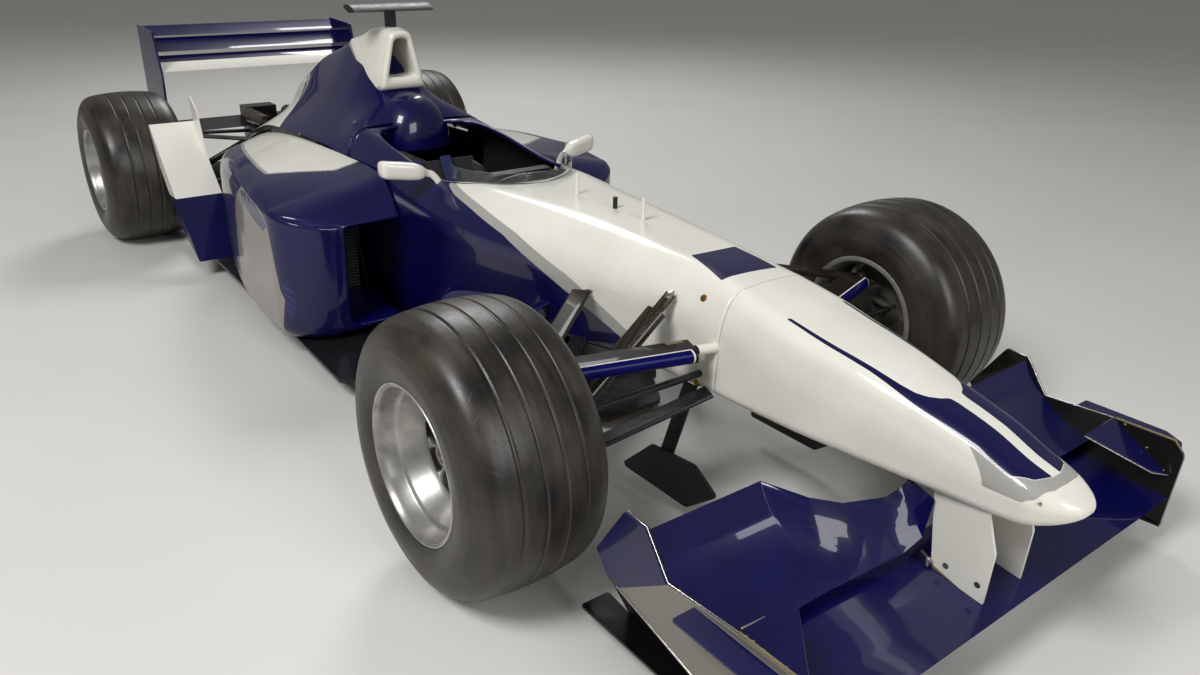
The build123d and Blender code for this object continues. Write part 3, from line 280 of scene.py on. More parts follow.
def twill_carbon(name, low, high, gloss):
    """Carbon fibre in epoxy, laid up in a mould: a twill of crossing tows under resin.

    The real tow is 2 mm wide; it is drawn 5 mm wide so that it shows. Each tow catches the light
    along its own direction, so light and dark tows alternate."""
    material, tree, place = start(name)
    slanted = add(tree, "ShaderNodeMapping", {"Vector": place, "Rotation": (0.3, 0.5, 0.785)}).outputs[0]
    weave = add(tree, "ShaderNodeTexChecker", {
        "Vector": slanted, "Scale": pitch(5), "Color1": (1, 1, 1), "Color2": (0, 0, 0)}).outputs["Fac"]
    cloud = add(tree, "ShaderNodeTexNoise", {"Vector": place, "Scale": pitch(90), "Detail": 4.0}).outputs[0]
    scuff = add(tree, "ShaderNodeTexNoise", {"Vector": place, "Scale": pitch(18), "Detail": 4.0}).outputs[0]
    shade = add(tree, "ShaderNodeMath", {0: weave, 1: cloud}, operation="MULTIPLY").outputs[0]
    colour = add(tree, "ShaderNodeMix", {
        0: shade, 6: linear(low), 7: linear(high)}, data_type="RGBA").outputs[2]
    rough = add(tree, "ShaderNodeMapRange", {
        "Value": scuff, "From Min": 0.35, "From Max": 0.75, "To Min": gloss - 0.08, "To Max": gloss + 0.16})
    normal = add(tree, "ShaderNodeBump", {"Height": weave, "Distance": 0.05 * MM}).outputs[0]
    surface(
        tree, Base_Color=colour, Roughness=rough.outputs[0], Normal=normal, Specular_IOR_Level=0.3,
        Coat_Weight=0.25, Coat_Roughness=0.12)
    return material


def worn_rubber():
    """Vulcanised tyre rubber, moulded, then worn and polished by handling.

    Brown black with a greasy shine, drawn into rings by running, cracked finely in places."""
    material, tree, place = start("worn_rubber")
    drawn = add(tree, "ShaderNodeMapping", {"Vector": place, "Scale": (0.18, 1, 0.18)}).outputs[0]
    rings = add(tree, "ShaderNodeTexNoise", {"Vector": drawn, "Scale": pitch(22), "Detail": 4.0}).outputs[0]
    cloud = add(tree, "ShaderNodeTexNoise", {"Vector": place, "Scale": pitch(110), "Detail": 5.0}).outputs[0]
    scuffs = add(tree, "ShaderNodeTexNoise", {"Vector": place, "Scale": pitch(4), "Detail": 5.0}).outputs[0]
    mixed = add(tree, "ShaderNodeMath", {0: rings, 1: cloud}, operation="MULTIPLY").outputs[0]
    shade = add(tree, "ShaderNodeMapRange", {"Value": mixed, "From Min": 0.12, "From Max": 0.4}).outputs[0]
    colour = add(tree, "ShaderNodeMix", {
        0: shade, 6: linear("#151311"), 7: linear("#3A342C")}, data_type="RGBA").outputs[2]
    rough = add(tree, "ShaderNodeMapRange", {
        "Value": cloud, "From Min": 0.3, "From Max": 0.75, "To Min": 0.3, "To Max": 0.5}).outputs[0]
    cracks = add(
        tree, "ShaderNodeTexVoronoi", {"Vector": place, "Scale": pitch(38), "Randomness": 1.0},
        feature="DISTANCE_TO_EDGE").outputs["Distance"]
    thin = add(tree, "ShaderNodeMapRange", {"Value": cracks, "From Min": 0.0, "From Max": 0.012}).outputs[0]
    grain = add(tree, "ShaderNodeBump", {"Height": scuffs, "Distance": 0.16 * MM}).outputs[0]
    normal = add(tree, "ShaderNodeBump", {"Height": thin, "Distance": 0.1 * MM, "Normal": grain}).outputs[0]
    surface(tree, Base_Color=colour, Roughness=rough, Normal=normal, Specular_IOR_Level=0.5)
    return material


def grained(name, low, high, metallic, rough, grain_mm, depth_mm, coat=0.0):
    """Cast or blown metal, pressed carbon or planed beech: a fine grain over slow stains.

    The darker stains are the more matt ones."""
    material, tree, place = start(name)
    cloud = add(tree, "ShaderNodeTexNoise", {"Vector": place, "Scale": pitch(45), "Detail": 5.0}).outputs[0]
    grain = add(tree, "ShaderNodeTexNoise", {
        "Vector": place, "Scale": pitch(grain_mm), "Detail": 3.0}).outputs[0]
    stains = add(tree, "ShaderNodeMapRange", {"Value": cloud, "From Min": 0.3, "From Max": 0.7}).outputs[0]
    colour = add(tree, "ShaderNodeMix", {
        0: stains, 6: linear(low), 7: linear(high)}, data_type="RGBA").outputs[2]
    dull = add(tree, "ShaderNodeMapRange", {
        "Value": stains, "To Min": rough + 0.1, "To Max": rough - 0.05}).outputs[0]
    normal = add(tree, "ShaderNodeBump", {"Height": grain, "Distance": depth_mm * MM}).outputs[0]
    surface(
        tree, Base_Color=colour, Roughness=dull, Normal=normal, Metallic=metallic, Coat_Weight=coat,
        Coat_Roughness=0.15)
    return material


def brushed_metal(name, low, high, rough, stretch):
    """Metal drawn or machined: long fine lines across the direction that stretch presses together."""
    material, tree, place = start(name)
    drawn = add(tree, "ShaderNodeMapping", {"Vector": place, "Scale": stretch}).outputs[0]
    lines = add(tree, "ShaderNodeTexNoise", {"Vector": drawn, "Scale": pitch(1.2), "Detail": 2.0}).outputs[0]
    stains = add(tree, "ShaderNodeTexNoise", {"Vector": place, "Scale": pitch(60), "Detail": 4.0}).outputs[0]
    shade = add(tree, "ShaderNodeMix", {
        0: stains, 6: linear(low), 7: linear(high)}, data_type="RGBA").outputs[2]
    dull = add(tree, "ShaderNodeMapRange", {
        "Value": lines, "From Min": 0.3, "From Max": 0.7, "To Min": rough - 0.07, "To Max": rough + 0.1})
    normal = add(tree, "ShaderNodeBump", {"Height": lines, "Distance": 0.02 * MM}).outputs[0]
    surface(tree, Base_Color=shade, Roughness=dull.outputs[0], Normal=normal, Metallic=1.0)
    return material


def moulded_plastic(name, low, high, rough, grain_mm=0.8):
    """Moulded thermoplastic with a fine grain and a little dust."""
    material, tree, place = start(name)
    cloud = add(tree, "ShaderNodeTexNoise", {"Vector": place, "Scale": pitch(60), "Detail": 4.0}).outputs[0]
    dust = add(tree, "ShaderNodeTexNoise", {"Vector": place, "Scale": pitch(25), "Detail": 4.0}).outputs[0]
    grain = add(tree, "ShaderNodeTexNoise", {
        "Vector": place, "Scale": pitch(grain_mm), "Detail": 2.0}).outputs[0]
    colour = add(tree, "ShaderNodeMix", {
        0: cloud, 6: linear(low), 7: linear(high)}, data_type="RGBA").outputs[2]
    dull = add(tree, "ShaderNodeMapRange", {
        "Value": dust, "From Min": 0.3, "From Max": 0.7, "To Min": rough - 0.06, "To Max": rough + 0.08})
    normal = add(tree, "ShaderNodeBump", {"Height": grain, "Distance": 0.05 * MM}).outputs[0]
    surface(tree, Base_Color=colour, Roughness=dull.outputs[0], Normal=normal, Specular_IOR_Level=0.45)
    return material


def woven(name, low, high, thread_mm):
    """Woven webbing or seat cloth: two sets of threads crossing at right angles, matt with a sheen.

    A thread and the gap beside it take twice the thread's width, so that the weave shows."""
    material, tree, place = start(name)
    waves = []
    for direction in ("X", "Y"):
        settings = {"Vector": place, "Scale": pitch(thread_mm) / math.tau}
        waves.append(add(tree, "ShaderNodeTexWave", settings, bands_direction=direction).outputs["Fac"])
    weave = add(tree, "ShaderNodeMath", {0: waves[0], 1: waves[1]}, operation="MULTIPLY").outputs[0]
    shade = add(tree, "ShaderNodeMapRange", {"Value": weave, "From Min": 0.1, "From Max": 0.6}).outputs[0]
    colour = add(tree, "ShaderNodeMix", {
        0: shade, 6: linear(low), 7: linear(high)}, data_type="RGBA").outputs[2]
    normal = add(tree, "ShaderNodeBump", {"Height": weave, "Distance": 0.3 * MM}).outputs[0]
    surface(tree, Base_Color=colour, Roughness=0.85, Normal=normal, Sheen_Weight=0.4, Sheen_Roughness=0.4)
    return material


def clear_polycarbonate():
    """Vacuum formed polycarbonate, faintly smoked, with fine scratches."""
    material, tree, place = start("clear_polycarbonate")
    drawn = add(tree, "ShaderNodeMapping", {"Vector": place, "Scale": (1, 6, 1)}).outputs[0]
    scratch = add(tree, "ShaderNodeTexNoise", {"Vector": drawn, "Scale": pitch(3), "Detail": 4.0}).outputs[0]
    rough = add(tree, "ShaderNodeMapRange", {
        "Value": scratch, "From Min": 0.4, "From Max": 0.8, "To Min": 0.01, "To Max": 0.1}).outputs[0]
    surface(
        tree, Base_Color=linear("#D8DEDC"), Roughness=rough, Transmission_Weight=0.97, IOR=1.3)
    return material


def mirror_glass():
    """Silvered glass of the mirrors, with a trace of dust."""
    material, tree, place = start("mirror_glass")
    dust = add(tree, "ShaderNodeTexNoise", {"Vector": place, "Scale": pitch(8), "Detail": 3.0}).outputs[0]
    rough = add(tree, "ShaderNodeMapRange", {
        "Value": dust, "From Min": 0.4, "From Max": 0.9, "To Min": 0.02, "To Max": 0.12}).outputs[0]
    surface(tree, Base_Color=linear("#C9CED2"), Roughness=rough, Metallic=1.0)
    return material


def finned_core():
    """Brazed aluminium radiator core: flat tubes with folded fins between, coarse so that they show.

    A tube and the gap beside it take 12 mm, and a fin and its gap a little under half of that."""
    material, tree, place = start("finned_core")
    scale = pitch(6) / math.tau
    tubes = add(tree, "ShaderNodeTexWave", {"Vector": place, "Scale": scale}, bands_direction="Z")
    fins = add(tree, "ShaderNodeTexWave", {"Vector": place, "Scale": 2.2 * scale}, bands_direction="Y")
    core = add(tree, "ShaderNodeMath", {
        0: tubes.outputs["Fac"], 1: fins.outputs["Fac"]}, operation="MULTIPLY").outputs[0]
    colour = add(tree, "ShaderNodeMix", {
        0: core, 6: linear("#0C0C0D"), 7: linear("#6E6F70")}, data_type="RGBA").outputs[2]
    normal = add(tree, "ShaderNodeBump", {"Height": core, "Distance": 1.5 * MM}).outputs[0]
    surface(tree, Base_Color=colour, Roughness=0.5, Metallic=0.7, Normal=normal)
    return material


def painted_materials(white, navy):
    """Lacquers by name. Pieces painted in more than one colour have the flat bounds of their zones."""
    upper, lower = (0.255, 0, 1), (-0.255, 0, -1)
    outer_face, plate_edge = ((0, 657, 0), (0, 1, 0)), ((0, 662, 0), (0, -1, 0))
    end_plate = (
        (linear("#77736C"), (
            ((420, 0, 178), upper), ((430, 0, 178), (0.57, 0, -0.82)), outer_face, plate_edge)),
        (BLACK, (((420, 0, 177), lower),)),
        (linear("#14110D"), (((0, 651.5, 0), (0, -1, 0)), ((0, 645, 0), (0, 1, 0)), ((420, 0, 178), upper))),
    )
    ahead, behind = (0.939, 0.345, 0), (-0.939, -0.345, 0)
    fairing = (
        (PALE, (((176, 158, 0), ahead), ((0, 236, 0), (0, 1, 0)), ((0, 549, 0), (0, -1, 0)))),
        (navy, (((179, 160, 0), ahead), ((0, 240, 0), (0, 1, 0)), ((0, 545, 0), (0, -1, 0)))),
        (OLIVE, (
            ((0, 222, 0), (0, 1, 0)), ((0, 262, 0), (0, -1, 0)), ((132, 158, 0), behind),
            ((60, 0, 0), (1, 0, 0)))),
        (PALE, (((0, 206, 0), (0, -1, 0)), ((100, 0, 0), (1, 0, 0)))),
    )
    rows = {
        "end_plate": (navy, NAVY_SHADE, plan_zones(*end_plate)),
        "flip_up": (navy, NAVY_SHADE, plan_zones((white, (((0, 0, 288), (0, 0, 1)),)))),
        "pillar": (white, PALE, plan_zones((OLIVE, (((720, 0, 172), (-0.28, 0, -1)),)))),
        "rear_wing": (navy, NAVY_SHADE, plan_zones((white, (((0, 0, 735), (0, 0, -1)),)))),
        "fairing": (linear("#241F18"), linear("#14110E"), plan_zones(*fairing), FAIRING_SHINE),
        "aerial": (white, PALE, plan_zones((BLACK, (((-500, 0, 0), (1, 0, 0)), ((-390, 0, 0), (-1, 0, 0)))))),
        "livery": (navy, NAVY_SHADE, body_zones),
        "white": (white, PALE, no_zones),
        "navy": (navy, NAVY_SHADE, no_zones),
        "black": (linear("#101012"), linear("#18181A"), no_zones),
    }
    return {name: painted(f"{name}_lacquer", *row) for name, row in rows.items()}


# How each plain finish is made, then its name, its material, its low and high tint and its settings
PLAIN_FINISHES = (
    (brushed_metal, (
        ("silver_trim", "polished_aluminium", "#A8A49B", "#C6C2B8", 0.25, (1, 1, 6)),
        ("steel", "machined_steel", "#8A8782", "#A9A6A0", 0.32, (1, 12, 1)),
        ("gold", "gold_anodised_aluminium", "#7A5A1E", "#9A7A34", 0.35, (1, 1, 6)),
    )),
    (twill_carbon, (
        ("carbon", "satin_twill_carbon", "#0B0B0C", "#2A2A2B", 0.38),
        ("bronze_carbon", "glossy_wound_carbon", "#17140F", "#40392B", 0.16),
    )),
    (grained, (
        ("rim", "painted_magnesium", "#8F8D89", "#B5B3AE", 0.75, 0.34, 1.0, 0.02, 0.4),
        ("cast", "cast_magnesium", "#4E4C47", "#77746D", 0.8, 0.5, 1.4, 0.12),
        ("exhaust", "heat_stained_steel", "#5A4A38", "#8B8478", 1.0, 0.34, 0.9, 0.03),
        ("disc", "carbon_brake_disc", "#3E3A33", "#6A6456", 0.1, 0.55, 1.2, 0.05),
        ("plank", "laminated_beech_plank", "#4B3A27", "#76603F", 0.0, 0.6, 2.5, 0.2),
    )),
    (moulded_plastic, (
        ("plastic", "black_nylon", "#0D0D0E", "#1B1B1C", 0.45),
        ("tape", "olive_cloth_tape", "#5E563A", "#807650", 0.7, 1.5),
        ("lamp", "red_acrylic", "#4A0604", "#8A120C", 0.2),
        ("inside", "unpainted_laminate", "#08080A", "#161618", 0.6, 2.0),
    )),
    (woven, (
        ("cloth", "flame_proof_cloth", "#0C0C10", "#26262C", 1.6),
        ("webbing", "harness_webbing", "#10163C", "#2A3472", 1.4),
    )),
)


def make_materials():
    """Fills the table of finishes by name."""
    colours = bpy.context.scene.car_colours
    FINISHES.update(painted_materials(tuple(colours.white), tuple(colours.navy)))
    for made, rows in PLAIN_FINISHES:
        for name, *settings in rows:
            FINISHES[name] = made(*settings)
    FINISHES.update(
        rubber=worn_rubber(), screen=clear_polycarbonate(), mirror=mirror_glass(), core=finned_core())


# Surfaces

# Points nearer than this, in metres, are one point where a skin's seams and poles close
SEAM = 0.00002
NODE_SEAM = 0.00001
# Angles in degrees: faces this flat become one, and edges this sharp stay sharp or are softened
FLAT_DEG = 1
SHARP_DEG = 32
SOFTENED_DEG = 40
# Rows of each rounded end of a bar
CAP_ROWS = 5


def smooth_rows(rows, stations):
    """Columns of a table at new stations, by a monotone cubic between its rows.

    Each slope is the weighted harmonic mean of the two beside it, and zero at a turning point."""
    table = np.array(rows, float)
    table = table[np.argsort(table[:, 0])]
    x, y = table[:, 0], table[:, 1:]
    step = np.diff(x)
    slope = np.diff(y, axis=0) / step[:, None]
    tangent = np.zeros_like(y)
    tangent[0], tangent[-1] = slope[0], slope[-1]
    before = (2 * step[1:] + step[:-1])[:, None]
    after = (step[1:] + 2 * step[:-1])[:, None]
    same = slope[:-1] * slope[1:] > 0
    low = np.where(same, slope[:-1], 1)
    high = np.where(same, slope[1:], 1)
    tangent[1:-1] = np.where(same, (before + after) / (before / low + after / high), 0)
    spots = np.clip(np.asarray(stations, float), x[0], x[-1])
    i = np.clip(np.searchsorted(x, spots) - 1, 0, len(x) - 2)
    h = step[i][:, None]
    t = ((spots - x[i]) / step[i])[:, None]
    value = y[i] * (2 * t ** 3 - 3 * t ** 2 + 1) + y[i + 1] * (3 * t ** 2 - 2 * t ** 3)
    return value + h * (tangent[i] * (t ** 3 - 2 * t ** 2 + t) + tangent[i + 1] * (t ** 3 - t ** 2))


def smooth_line(points, count):
    """Line through a few points by the same cubic, its steps even along the run of the points."""
    points = np.array(points, float)
    run = np.concatenate([[0], np.cumsum(np.linalg.norm(np.diff(points, axis=0), axis=1))])
    return smooth_rows(np.column_stack([run, points]), np.linspace(0, run[-1], count))


def rounded_rings(corners, reaches, curve, side):
    """Closed outlines: a parabola rounds each corner from one tangent point to the other.

    corners is (outlines, corners, 2) and reaches (outlines, corners), the length that each rounding
    takes of both its sides, at most half of the shorter. curve is the number of points round a
    corner, and side the number on the straight to the next."""
    back = np.roll(corners, 1, axis=1) - corners
    ahead = np.roll(corners, -1, axis=1) - corners
    back_length = np.maximum(np.linalg.norm(back, axis=2), 1e-6)
    ahead_length = np.maximum(np.linalg.norm(ahead, axis=2), 1e-6)
    reach = np.minimum(reaches, 0.49 * np.minimum(back_length, ahead_length))
    start = corners + back * (reach / back_length)[..., None]
    end = corners + ahead * (reach / ahead_length)[..., None]
    t = np.linspace(0, 1, curve)[None, None, :, None]
    bend = start[:, :, None] * (1 - t) ** 2 + corners[:, :, None] * 2 * t * (1 - t) + end[:, :, None] * t ** 2
    following = np.roll(start, -1, axis=1)
    s = np.linspace(0, 1, side + 2)[1:-1][None, None, :, None]
    run = end[:, :, None] * (1 - s) + following[:, :, None] * s
    return np.concatenate([bend, run], axis=2).reshape(len(corners), -1, 2)


def half_outlines(half_corners, reaches, curve, side):
    """Left halves of symmetric outlines, from the top middle round to the bottom middle.

    half_corners is (outlines, corners, 2), from the top one, which lies on the middle line, down to
    the lowest, whose mirror image closes the bottom. curve and side are odd, so that the middle
    sample of each lies on the middle line."""
    mirrored = half_corners[:, :0:-1] * np.array([-1, 1])
    corners = np.concatenate([half_corners, mirrored], axis=1)
    all_reaches = np.array([*reaches, *reaches[:0:-1]], float)
    rings = rounded_rings(corners, np.broadcast_to(all_reaches, corners.shape[:2]), curve, side)
    first = curve // 2
    last = (half_corners.shape[1] - 1) * (curve + side) + curve + side // 2
    return rings[:, first:last + 1]


def along_stations(stations, rings):
    """Places in metres of outlines of sideways and height, each at its own station."""
    x = np.broadcast_to(np.asarray(stations, float)[:, None], rings.shape[:2])
    return along(np.stack([x, rings[..., 0], rings[..., 1]], axis=2))


def even_steps(line, count, cut=0.0):
    """Line of points resampled at even steps of its length, from a cut length to its end."""
    length = np.concatenate([[0], np.cumsum(np.linalg.norm(np.diff(line, axis=0), axis=1))])
    spots = np.linspace(cut, length[-1], count)
    return np.stack([np.interp(spots, length, line[:, k]) for k in range(line.shape[1])], axis=1)


def length_to(line, sideways):
    """Length along a line that starts in the middle, to where it is first that far sideways."""
    length = np.concatenate([[0], np.cumsum(np.linalg.norm(np.diff(line, axis=0), axis=1))])
    widest = int(np.argmax(line[:, 0])) + 1
    return np.interp(sideways, line[:widest, 0], length[:widest])


def grid_faces(rows, columns, wrap_rows, wrap_columns, first):
    """Quads of a grid of points, row by row, whose points count on from the first."""
    i = np.arange(rows if wrap_rows else rows - 1)
    j = np.arange(columns if wrap_columns else columns - 1)
    i, j = (part.ravel() for part in np.meshgrid(i, j, indexing="ij"))
    down, right = (i + 1) % rows, (j + 1) % columns
    corners = [i * columns + j, down * columns + j, down * columns + right, i * columns + right]
    return first + np.stack(corners, axis=1)


def finish_piece(obj, finishes, body, replaces):
    """Gives a new object its finishes, its body and what it stands for."""
    for finish in finishes:
        obj.data.materials.append(FINISHES[finish])
    bpy.context.scene.collection.objects.link(obj)
    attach(obj, body)
    if replaces:
        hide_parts(*replaces)
    return obj


class Sheets:
    """Grids of points gathered into one mesh."""

    def __init__(self):
        self.points = []
        self.faces = []
        self.slots = []
        self.count = 0

    def add(self, points, wrap_rows=False, wrap_columns=False, flip=False, slot=0):
        """Adds a grid of rows and columns of places in metres."""
        rows, columns = points.shape[:2]
        faces = grid_faces(rows, columns, wrap_rows, wrap_columns, self.count)
        self.faces.append(faces[:, ::-1] if flip else faces)
        self.slots.append(np.full(len(faces), slot))
        self.points.append(points.reshape(-1, 3))
        self.count += rows * columns
        return self

    def both(self, points, **how):
        """Adds a grid and its mirror image on the other side of the car."""
        self.add(points, **how)
        how["flip"] = not how.get("flip", False)
        return self.add(points * np.array([1, -1, 1]), **how)

    def piece(self, name, finishes, slot, body="root", replaces=(), outward=False):
        """Makes the object, closes its seams and poles and says what it rides on and replaces."""
        mesh = bpy.data.meshes.new(name)
        points = np.concatenate(self.points)
        faces = np.concatenate(self.faces)
        mesh.vertices.add(len(points))
        mesh.vertices.foreach_set("co", points.astype(np.float32).ravel())
        mesh.loops.add(faces.size)
        mesh.loops.foreach_set("vertex_index", faces.astype(np.int32).ravel())
        mesh.polygons.add(len(faces))
        mesh.polygons.foreach_set("loop_start", np.arange(0, faces.size, 4, dtype=np.int32))
        mesh.polygons.foreach_set("material_index", np.concatenate(self.slots).astype(np.int32))
        mesh.update(calc_edges=True)
        shape = bmesh.new()
        shape.from_mesh(mesh)
        bmesh.ops.remove_doubles(shape, verts=shape.verts, dist=SEAM)
        bmesh.ops.dissolve_degenerate(shape, dist=SEAM, edges=shape.edges)
        if outward:
            bmesh.ops.recalc_face_normals(shape, faces=shape.faces)
        shape.to_mesh(mesh)
        shape.free()
        mesh.shade_smooth()
        obj = bpy.data.objects.new(name, mesh)
        return finish_piece(obj, finishes, body, replaces)


def wall(obj, thickness_mm, inside=0):
    """Gives an open skin its wall, inwards, with another finish on the inside."""
    solid = obj.modifiers.new("wall", "SOLIDIFY")
    solid.thickness = thickness_mm * MM
    solid.offset = -1
    solid.use_even_offset = True
    solid.material_offset = inside
    solid.material_offset_rim = 0
    return obj


def crisp(obj, angle_deg):
    """Keeps edges sharper than an angle."""
    obj.data.set_sharp_from_angle(angle=math.radians(angle_deg))
    return obj


def places_of(obj):
    """Places of the object's points in millimetres from the front axle."""
    flat = np.empty(len(obj.data.vertices) * 3, np.float32)
    obj.data.vertices.foreach_get("co", flat)
    return (flat.reshape(-1, 3).astype(float) - np.array([AXLE_X, 0, 0])) / MM


PAINT_ZONES = ("white_zone", "silver_zone", "grey_zone", "stripe_zone", "faint_zone")
FAR_OUTSIDE = -999.0
WELL_INSIDE = 10.0


def paint(obj, **zones):
    """Stores how far each point lies inside each painted zone, in metres, for the paint to read."""
    for name in PAINT_ZONES:
        distance = zones.get(name, np.full(len(obj.data.vertices), FAR_OUTSIDE))
        attribute = obj.data.attributes.new(name, "FLOAT", "POINT")
        attribute.data.foreach_set("value", (distance * MM).astype(np.float32))
    return obj


def inside_polygon(points, corners):
    """Distance of flat points inside a polygon, negative outside.

    The least distance to any side, with its sign from how often a level ray crosses the sides."""
    corners = np.array(corners, float)
    best = np.full(len(points), np.inf)
    odd = np.zeros(len(points), bool)
    for start, end in zip(corners, np.roll(corners, -1, axis=0)):
        side = end - start
        share = np.clip(((points - start) @ side) / (side @ side), 0, 1)
        best = np.minimum(best, np.linalg.norm(points - start - share[:, None] * side, axis=1))
        crosses = (start[1] > points[:, 1]) != (end[1] > points[:, 1])
        rise = side[1] if side[1] else 1
        odd ^= crosses & (points[:, 0] < start[0] + (points[:, 1] - start[1]) * side[0] / rise)
    return np.where(odd, best, -best)


def frame_path(path, up):
    """Sideways and upward directions along a path of points in metres."""
    tangent = np.roll(path, -1, axis=0) - np.roll(path, 1, axis=0)
    tangent[0] = path[1] - path[0]
    tangent[-1] = path[-1] - path[-2]
    tangent /= np.linalg.norm(tangent, axis=1)[:, None]
    sideways = np.cross(tangent, np.broadcast_to(np.array(up, float), tangent.shape))
    sideways /= np.linalg.norm(sideways, axis=1)[:, None]
    return sideways, np.cross(sideways, tangent)


def capped(path, profile, up, round_off=1.0):
    """Profile carried along a path, its ends closed in a half round, as on a pin or a moulded arm.

    Each point is the path's, plus the profile's two parts along the sideways and the upward
    direction there. The end rows shrink as a circle does and step in by the radius times round_off."""
    sideways, upward = frame_path(path, up)
    radius = np.abs(profile).max() * round_off
    turn = np.linspace(0, math.pi / 2, CAP_ROWS)
    start = path[0] - path[1]
    finish = path[-1] - path[-2]
    start /= np.linalg.norm(start)
    finish /= np.linalg.norm(finish)
    head = path[0] + start * (radius * np.cos(turn))[:, None] - start * radius
    tail = path[-1] + finish * (radius * np.sin(turn))[:, None] - finish * radius
    line = np.concatenate([head, path[1:-1], tail])
    scale = np.concatenate([np.sin(turn), np.ones(len(path) - 2), np.cos(turn)])
    side, rise = (
        np.concatenate([np.tile(way[0], (CAP_ROWS, 1)), way[1:-1], np.tile(way[-1], (CAP_ROWS, 1))])
        for way in (sideways, upward))
    part = profile[None] * np.maximum(scale, 0)[:, None, None]
    return line[:, None, :] + part[..., :1] * side[:, None, :] + part[..., 1:] * rise[:, None, :]


def superellipse(count, power):
    """Points round a superellipse of half size one."""
    parts = np.stack([np.cos(turns(count)), np.sin(turns(count))], axis=1)
    return np.sign(parts) * np.abs(parts) ** (2 / power)


def oval(half_wide, half_high, count, power=2.0):
    """Points round a superellipse of half sizes in millimetres, in metres."""
    return superellipse(count, power) * np.array([half_wide, half_high]) * MM


def turned(profile, centre, side, count):
    """Profile of outward place and radius in millimetres, turned round the axle of a wheel.

    The axle runs along Y through the centre, and side is 1 on the left and -1 on the right."""
    profile = np.asarray(profile, float) * MM
    turn = turns(count)
    out, radius = profile[:, 0], profile[:, 1]
    x = centre[0] + np.outer(np.cos(turn), radius)
    z = centre[2] + np.outer(np.sin(turn), radius)
    y = np.broadcast_to(centre[1] + side * out, x.shape)
    return np.stack([x, y, z], axis=2)


def dressed(node, finish, edge_mm):
    """Copy of a CAD piece, merged, with its edges softened, that stands for the node."""
    mesh = frame["nodes"][node].data.copy()
    mesh.materials.clear()
    shape = bmesh.new()
    shape.from_mesh(mesh)
    bmesh.ops.remove_doubles(shape, verts=shape.verts, dist=NODE_SEAM)
    bmesh.ops.dissolve_limit(
        shape, angle_limit=math.radians(FLAT_DEG), verts=shape.verts, edges=shape.edges, delimit={"NORMAL"})
    shape.to_mesh(mesh)
    shape.free()
    mesh.shade_smooth()
    obj = crisp(bpy.data.objects.new(f"{node}_dressed", mesh), SHARP_DEG)
    finish_piece(obj, (finish,), BODY_OF[node], (node,))
    if edge_mm:
        soft = obj.modifiers.new("edges", "BEVEL")
        soft.width = edge_mm * MM
        soft.segments = 2
        soft.limit_method = "ANGLE"
        soft.angle_limit = math.radians(SOFTENED_DEG)
        soft.harden_normals = True
        soft.use_clamp_overlap = True
    return obj


# Nose and tub

JOINT = 160
NOSE_TAPER = 880
NOSE_TIP = 989
TIP_HEIGHT = 404
NOSE_TIP_POWER = 2.1
NOSE_STEPS = 130
NOSE_TIP_STEPS = 26
NOSE_CURVE_STEPS = 13
NOSE_SIDE_STEPS = 17
NOSE_SKIN = 3

# station, low half, low z, mid half, mid z, top half, top z, crown z
NOSE_ROWS = (
    (160, 166, 343, 158, 530, 119, 601, 610),
    (300, 156, 341, 150, 500, 126, 577, 590),
    (400, 148, 341, 142, 478, 122, 558, 573),
    (520, 130, 341, 127, 458, 108, 541, 552),
    (650, 110, 341, 111, 438, 90, 515, 525),
    (780, 92, 343, 97, 420, 79, 484, 493),
    (880, 80, 346, 88, 412, 70, 447, 455),
    (992, 62, 370, 74, 406, 56, 427, 431),
)
TUB_ROWS = (
    (-1660, 255, 74, 300, 592, 252, 694, 697),
    (-1400, 253, 74, 300, 572, 244, 668, 670),
    (-1080, 248, 76, 300, 548, 228, 634, 636),
    (-830, 235, 190, 288, 545, 197, 641, 638),
    (-520, 210, 275, 250, 548, 150, 640, 643),
    (-250, 190, 318, 210, 546, 126, 633, 634),
    (-100, 180, 334, 190, 543, 116, 628, 626),
    (30, 172, 340, 172, 538, 108, 619, 621),
    (160, 166, 343, 158, 530, 119, 601, 610),
)
# Length of each rounding at the crown, top edge, widest place and low edge
BODY_REACH = (90, 46, 90, 26)
# Points round each rounding and on each straight of the tub, the cover and the airbox
CURVE_STEPS = 9
SIDE_STEPS = 7
JOINT_GAP = 0.8
# Share of the way in, and the height it leads to, that each skin folds where nose and tub meet
JOINT_FOLD = 0.03
NOSE_FOLD_HEIGHT = 494
TUB_FOLD_HEIGHT = 480
TUB_BACK = (-1660, -1640)
TUB_SKIN = 12
TUB_COLUMNS = 120
TUB_AHEAD_STEPS = 119

COCKPIT_MIDDLE = -1100
COCKPIT_FRONT = -838
COCKPIT_BACK = -1622
COCKPIT_HALF = 224
COCKPIT_FRONT_POWER = 2.1
COCKPIT_BACK_POWER = 5
COCKPIT_FRONT_STEPS = 30
COCKPIT_BACK_STEPS = 46
# Beyond the car, to close the outline of what lies below and behind a line
BELOW_ALL = -500
BEHIND_ALL = -4000

# Grey band on the tub's side: station and height of its edges to the white and to the navy
BAND_WHITE = (
    (-2000, 900), (-1040, 660), (-985, 628), (-810, 602), (-604, 567), (-375, 507), (-311, 481), (-130, 405),
    (20, 338), (60, 0),
)
BAND_NAVY = (
    (-2000, 885), (-1052, 655), (-1002, 620), (-943, 604), (-832, 586), (-652, 552), (-510, 505), (-380, 456),
    (-177, 387), (-60, 338), (-20, 0),
)

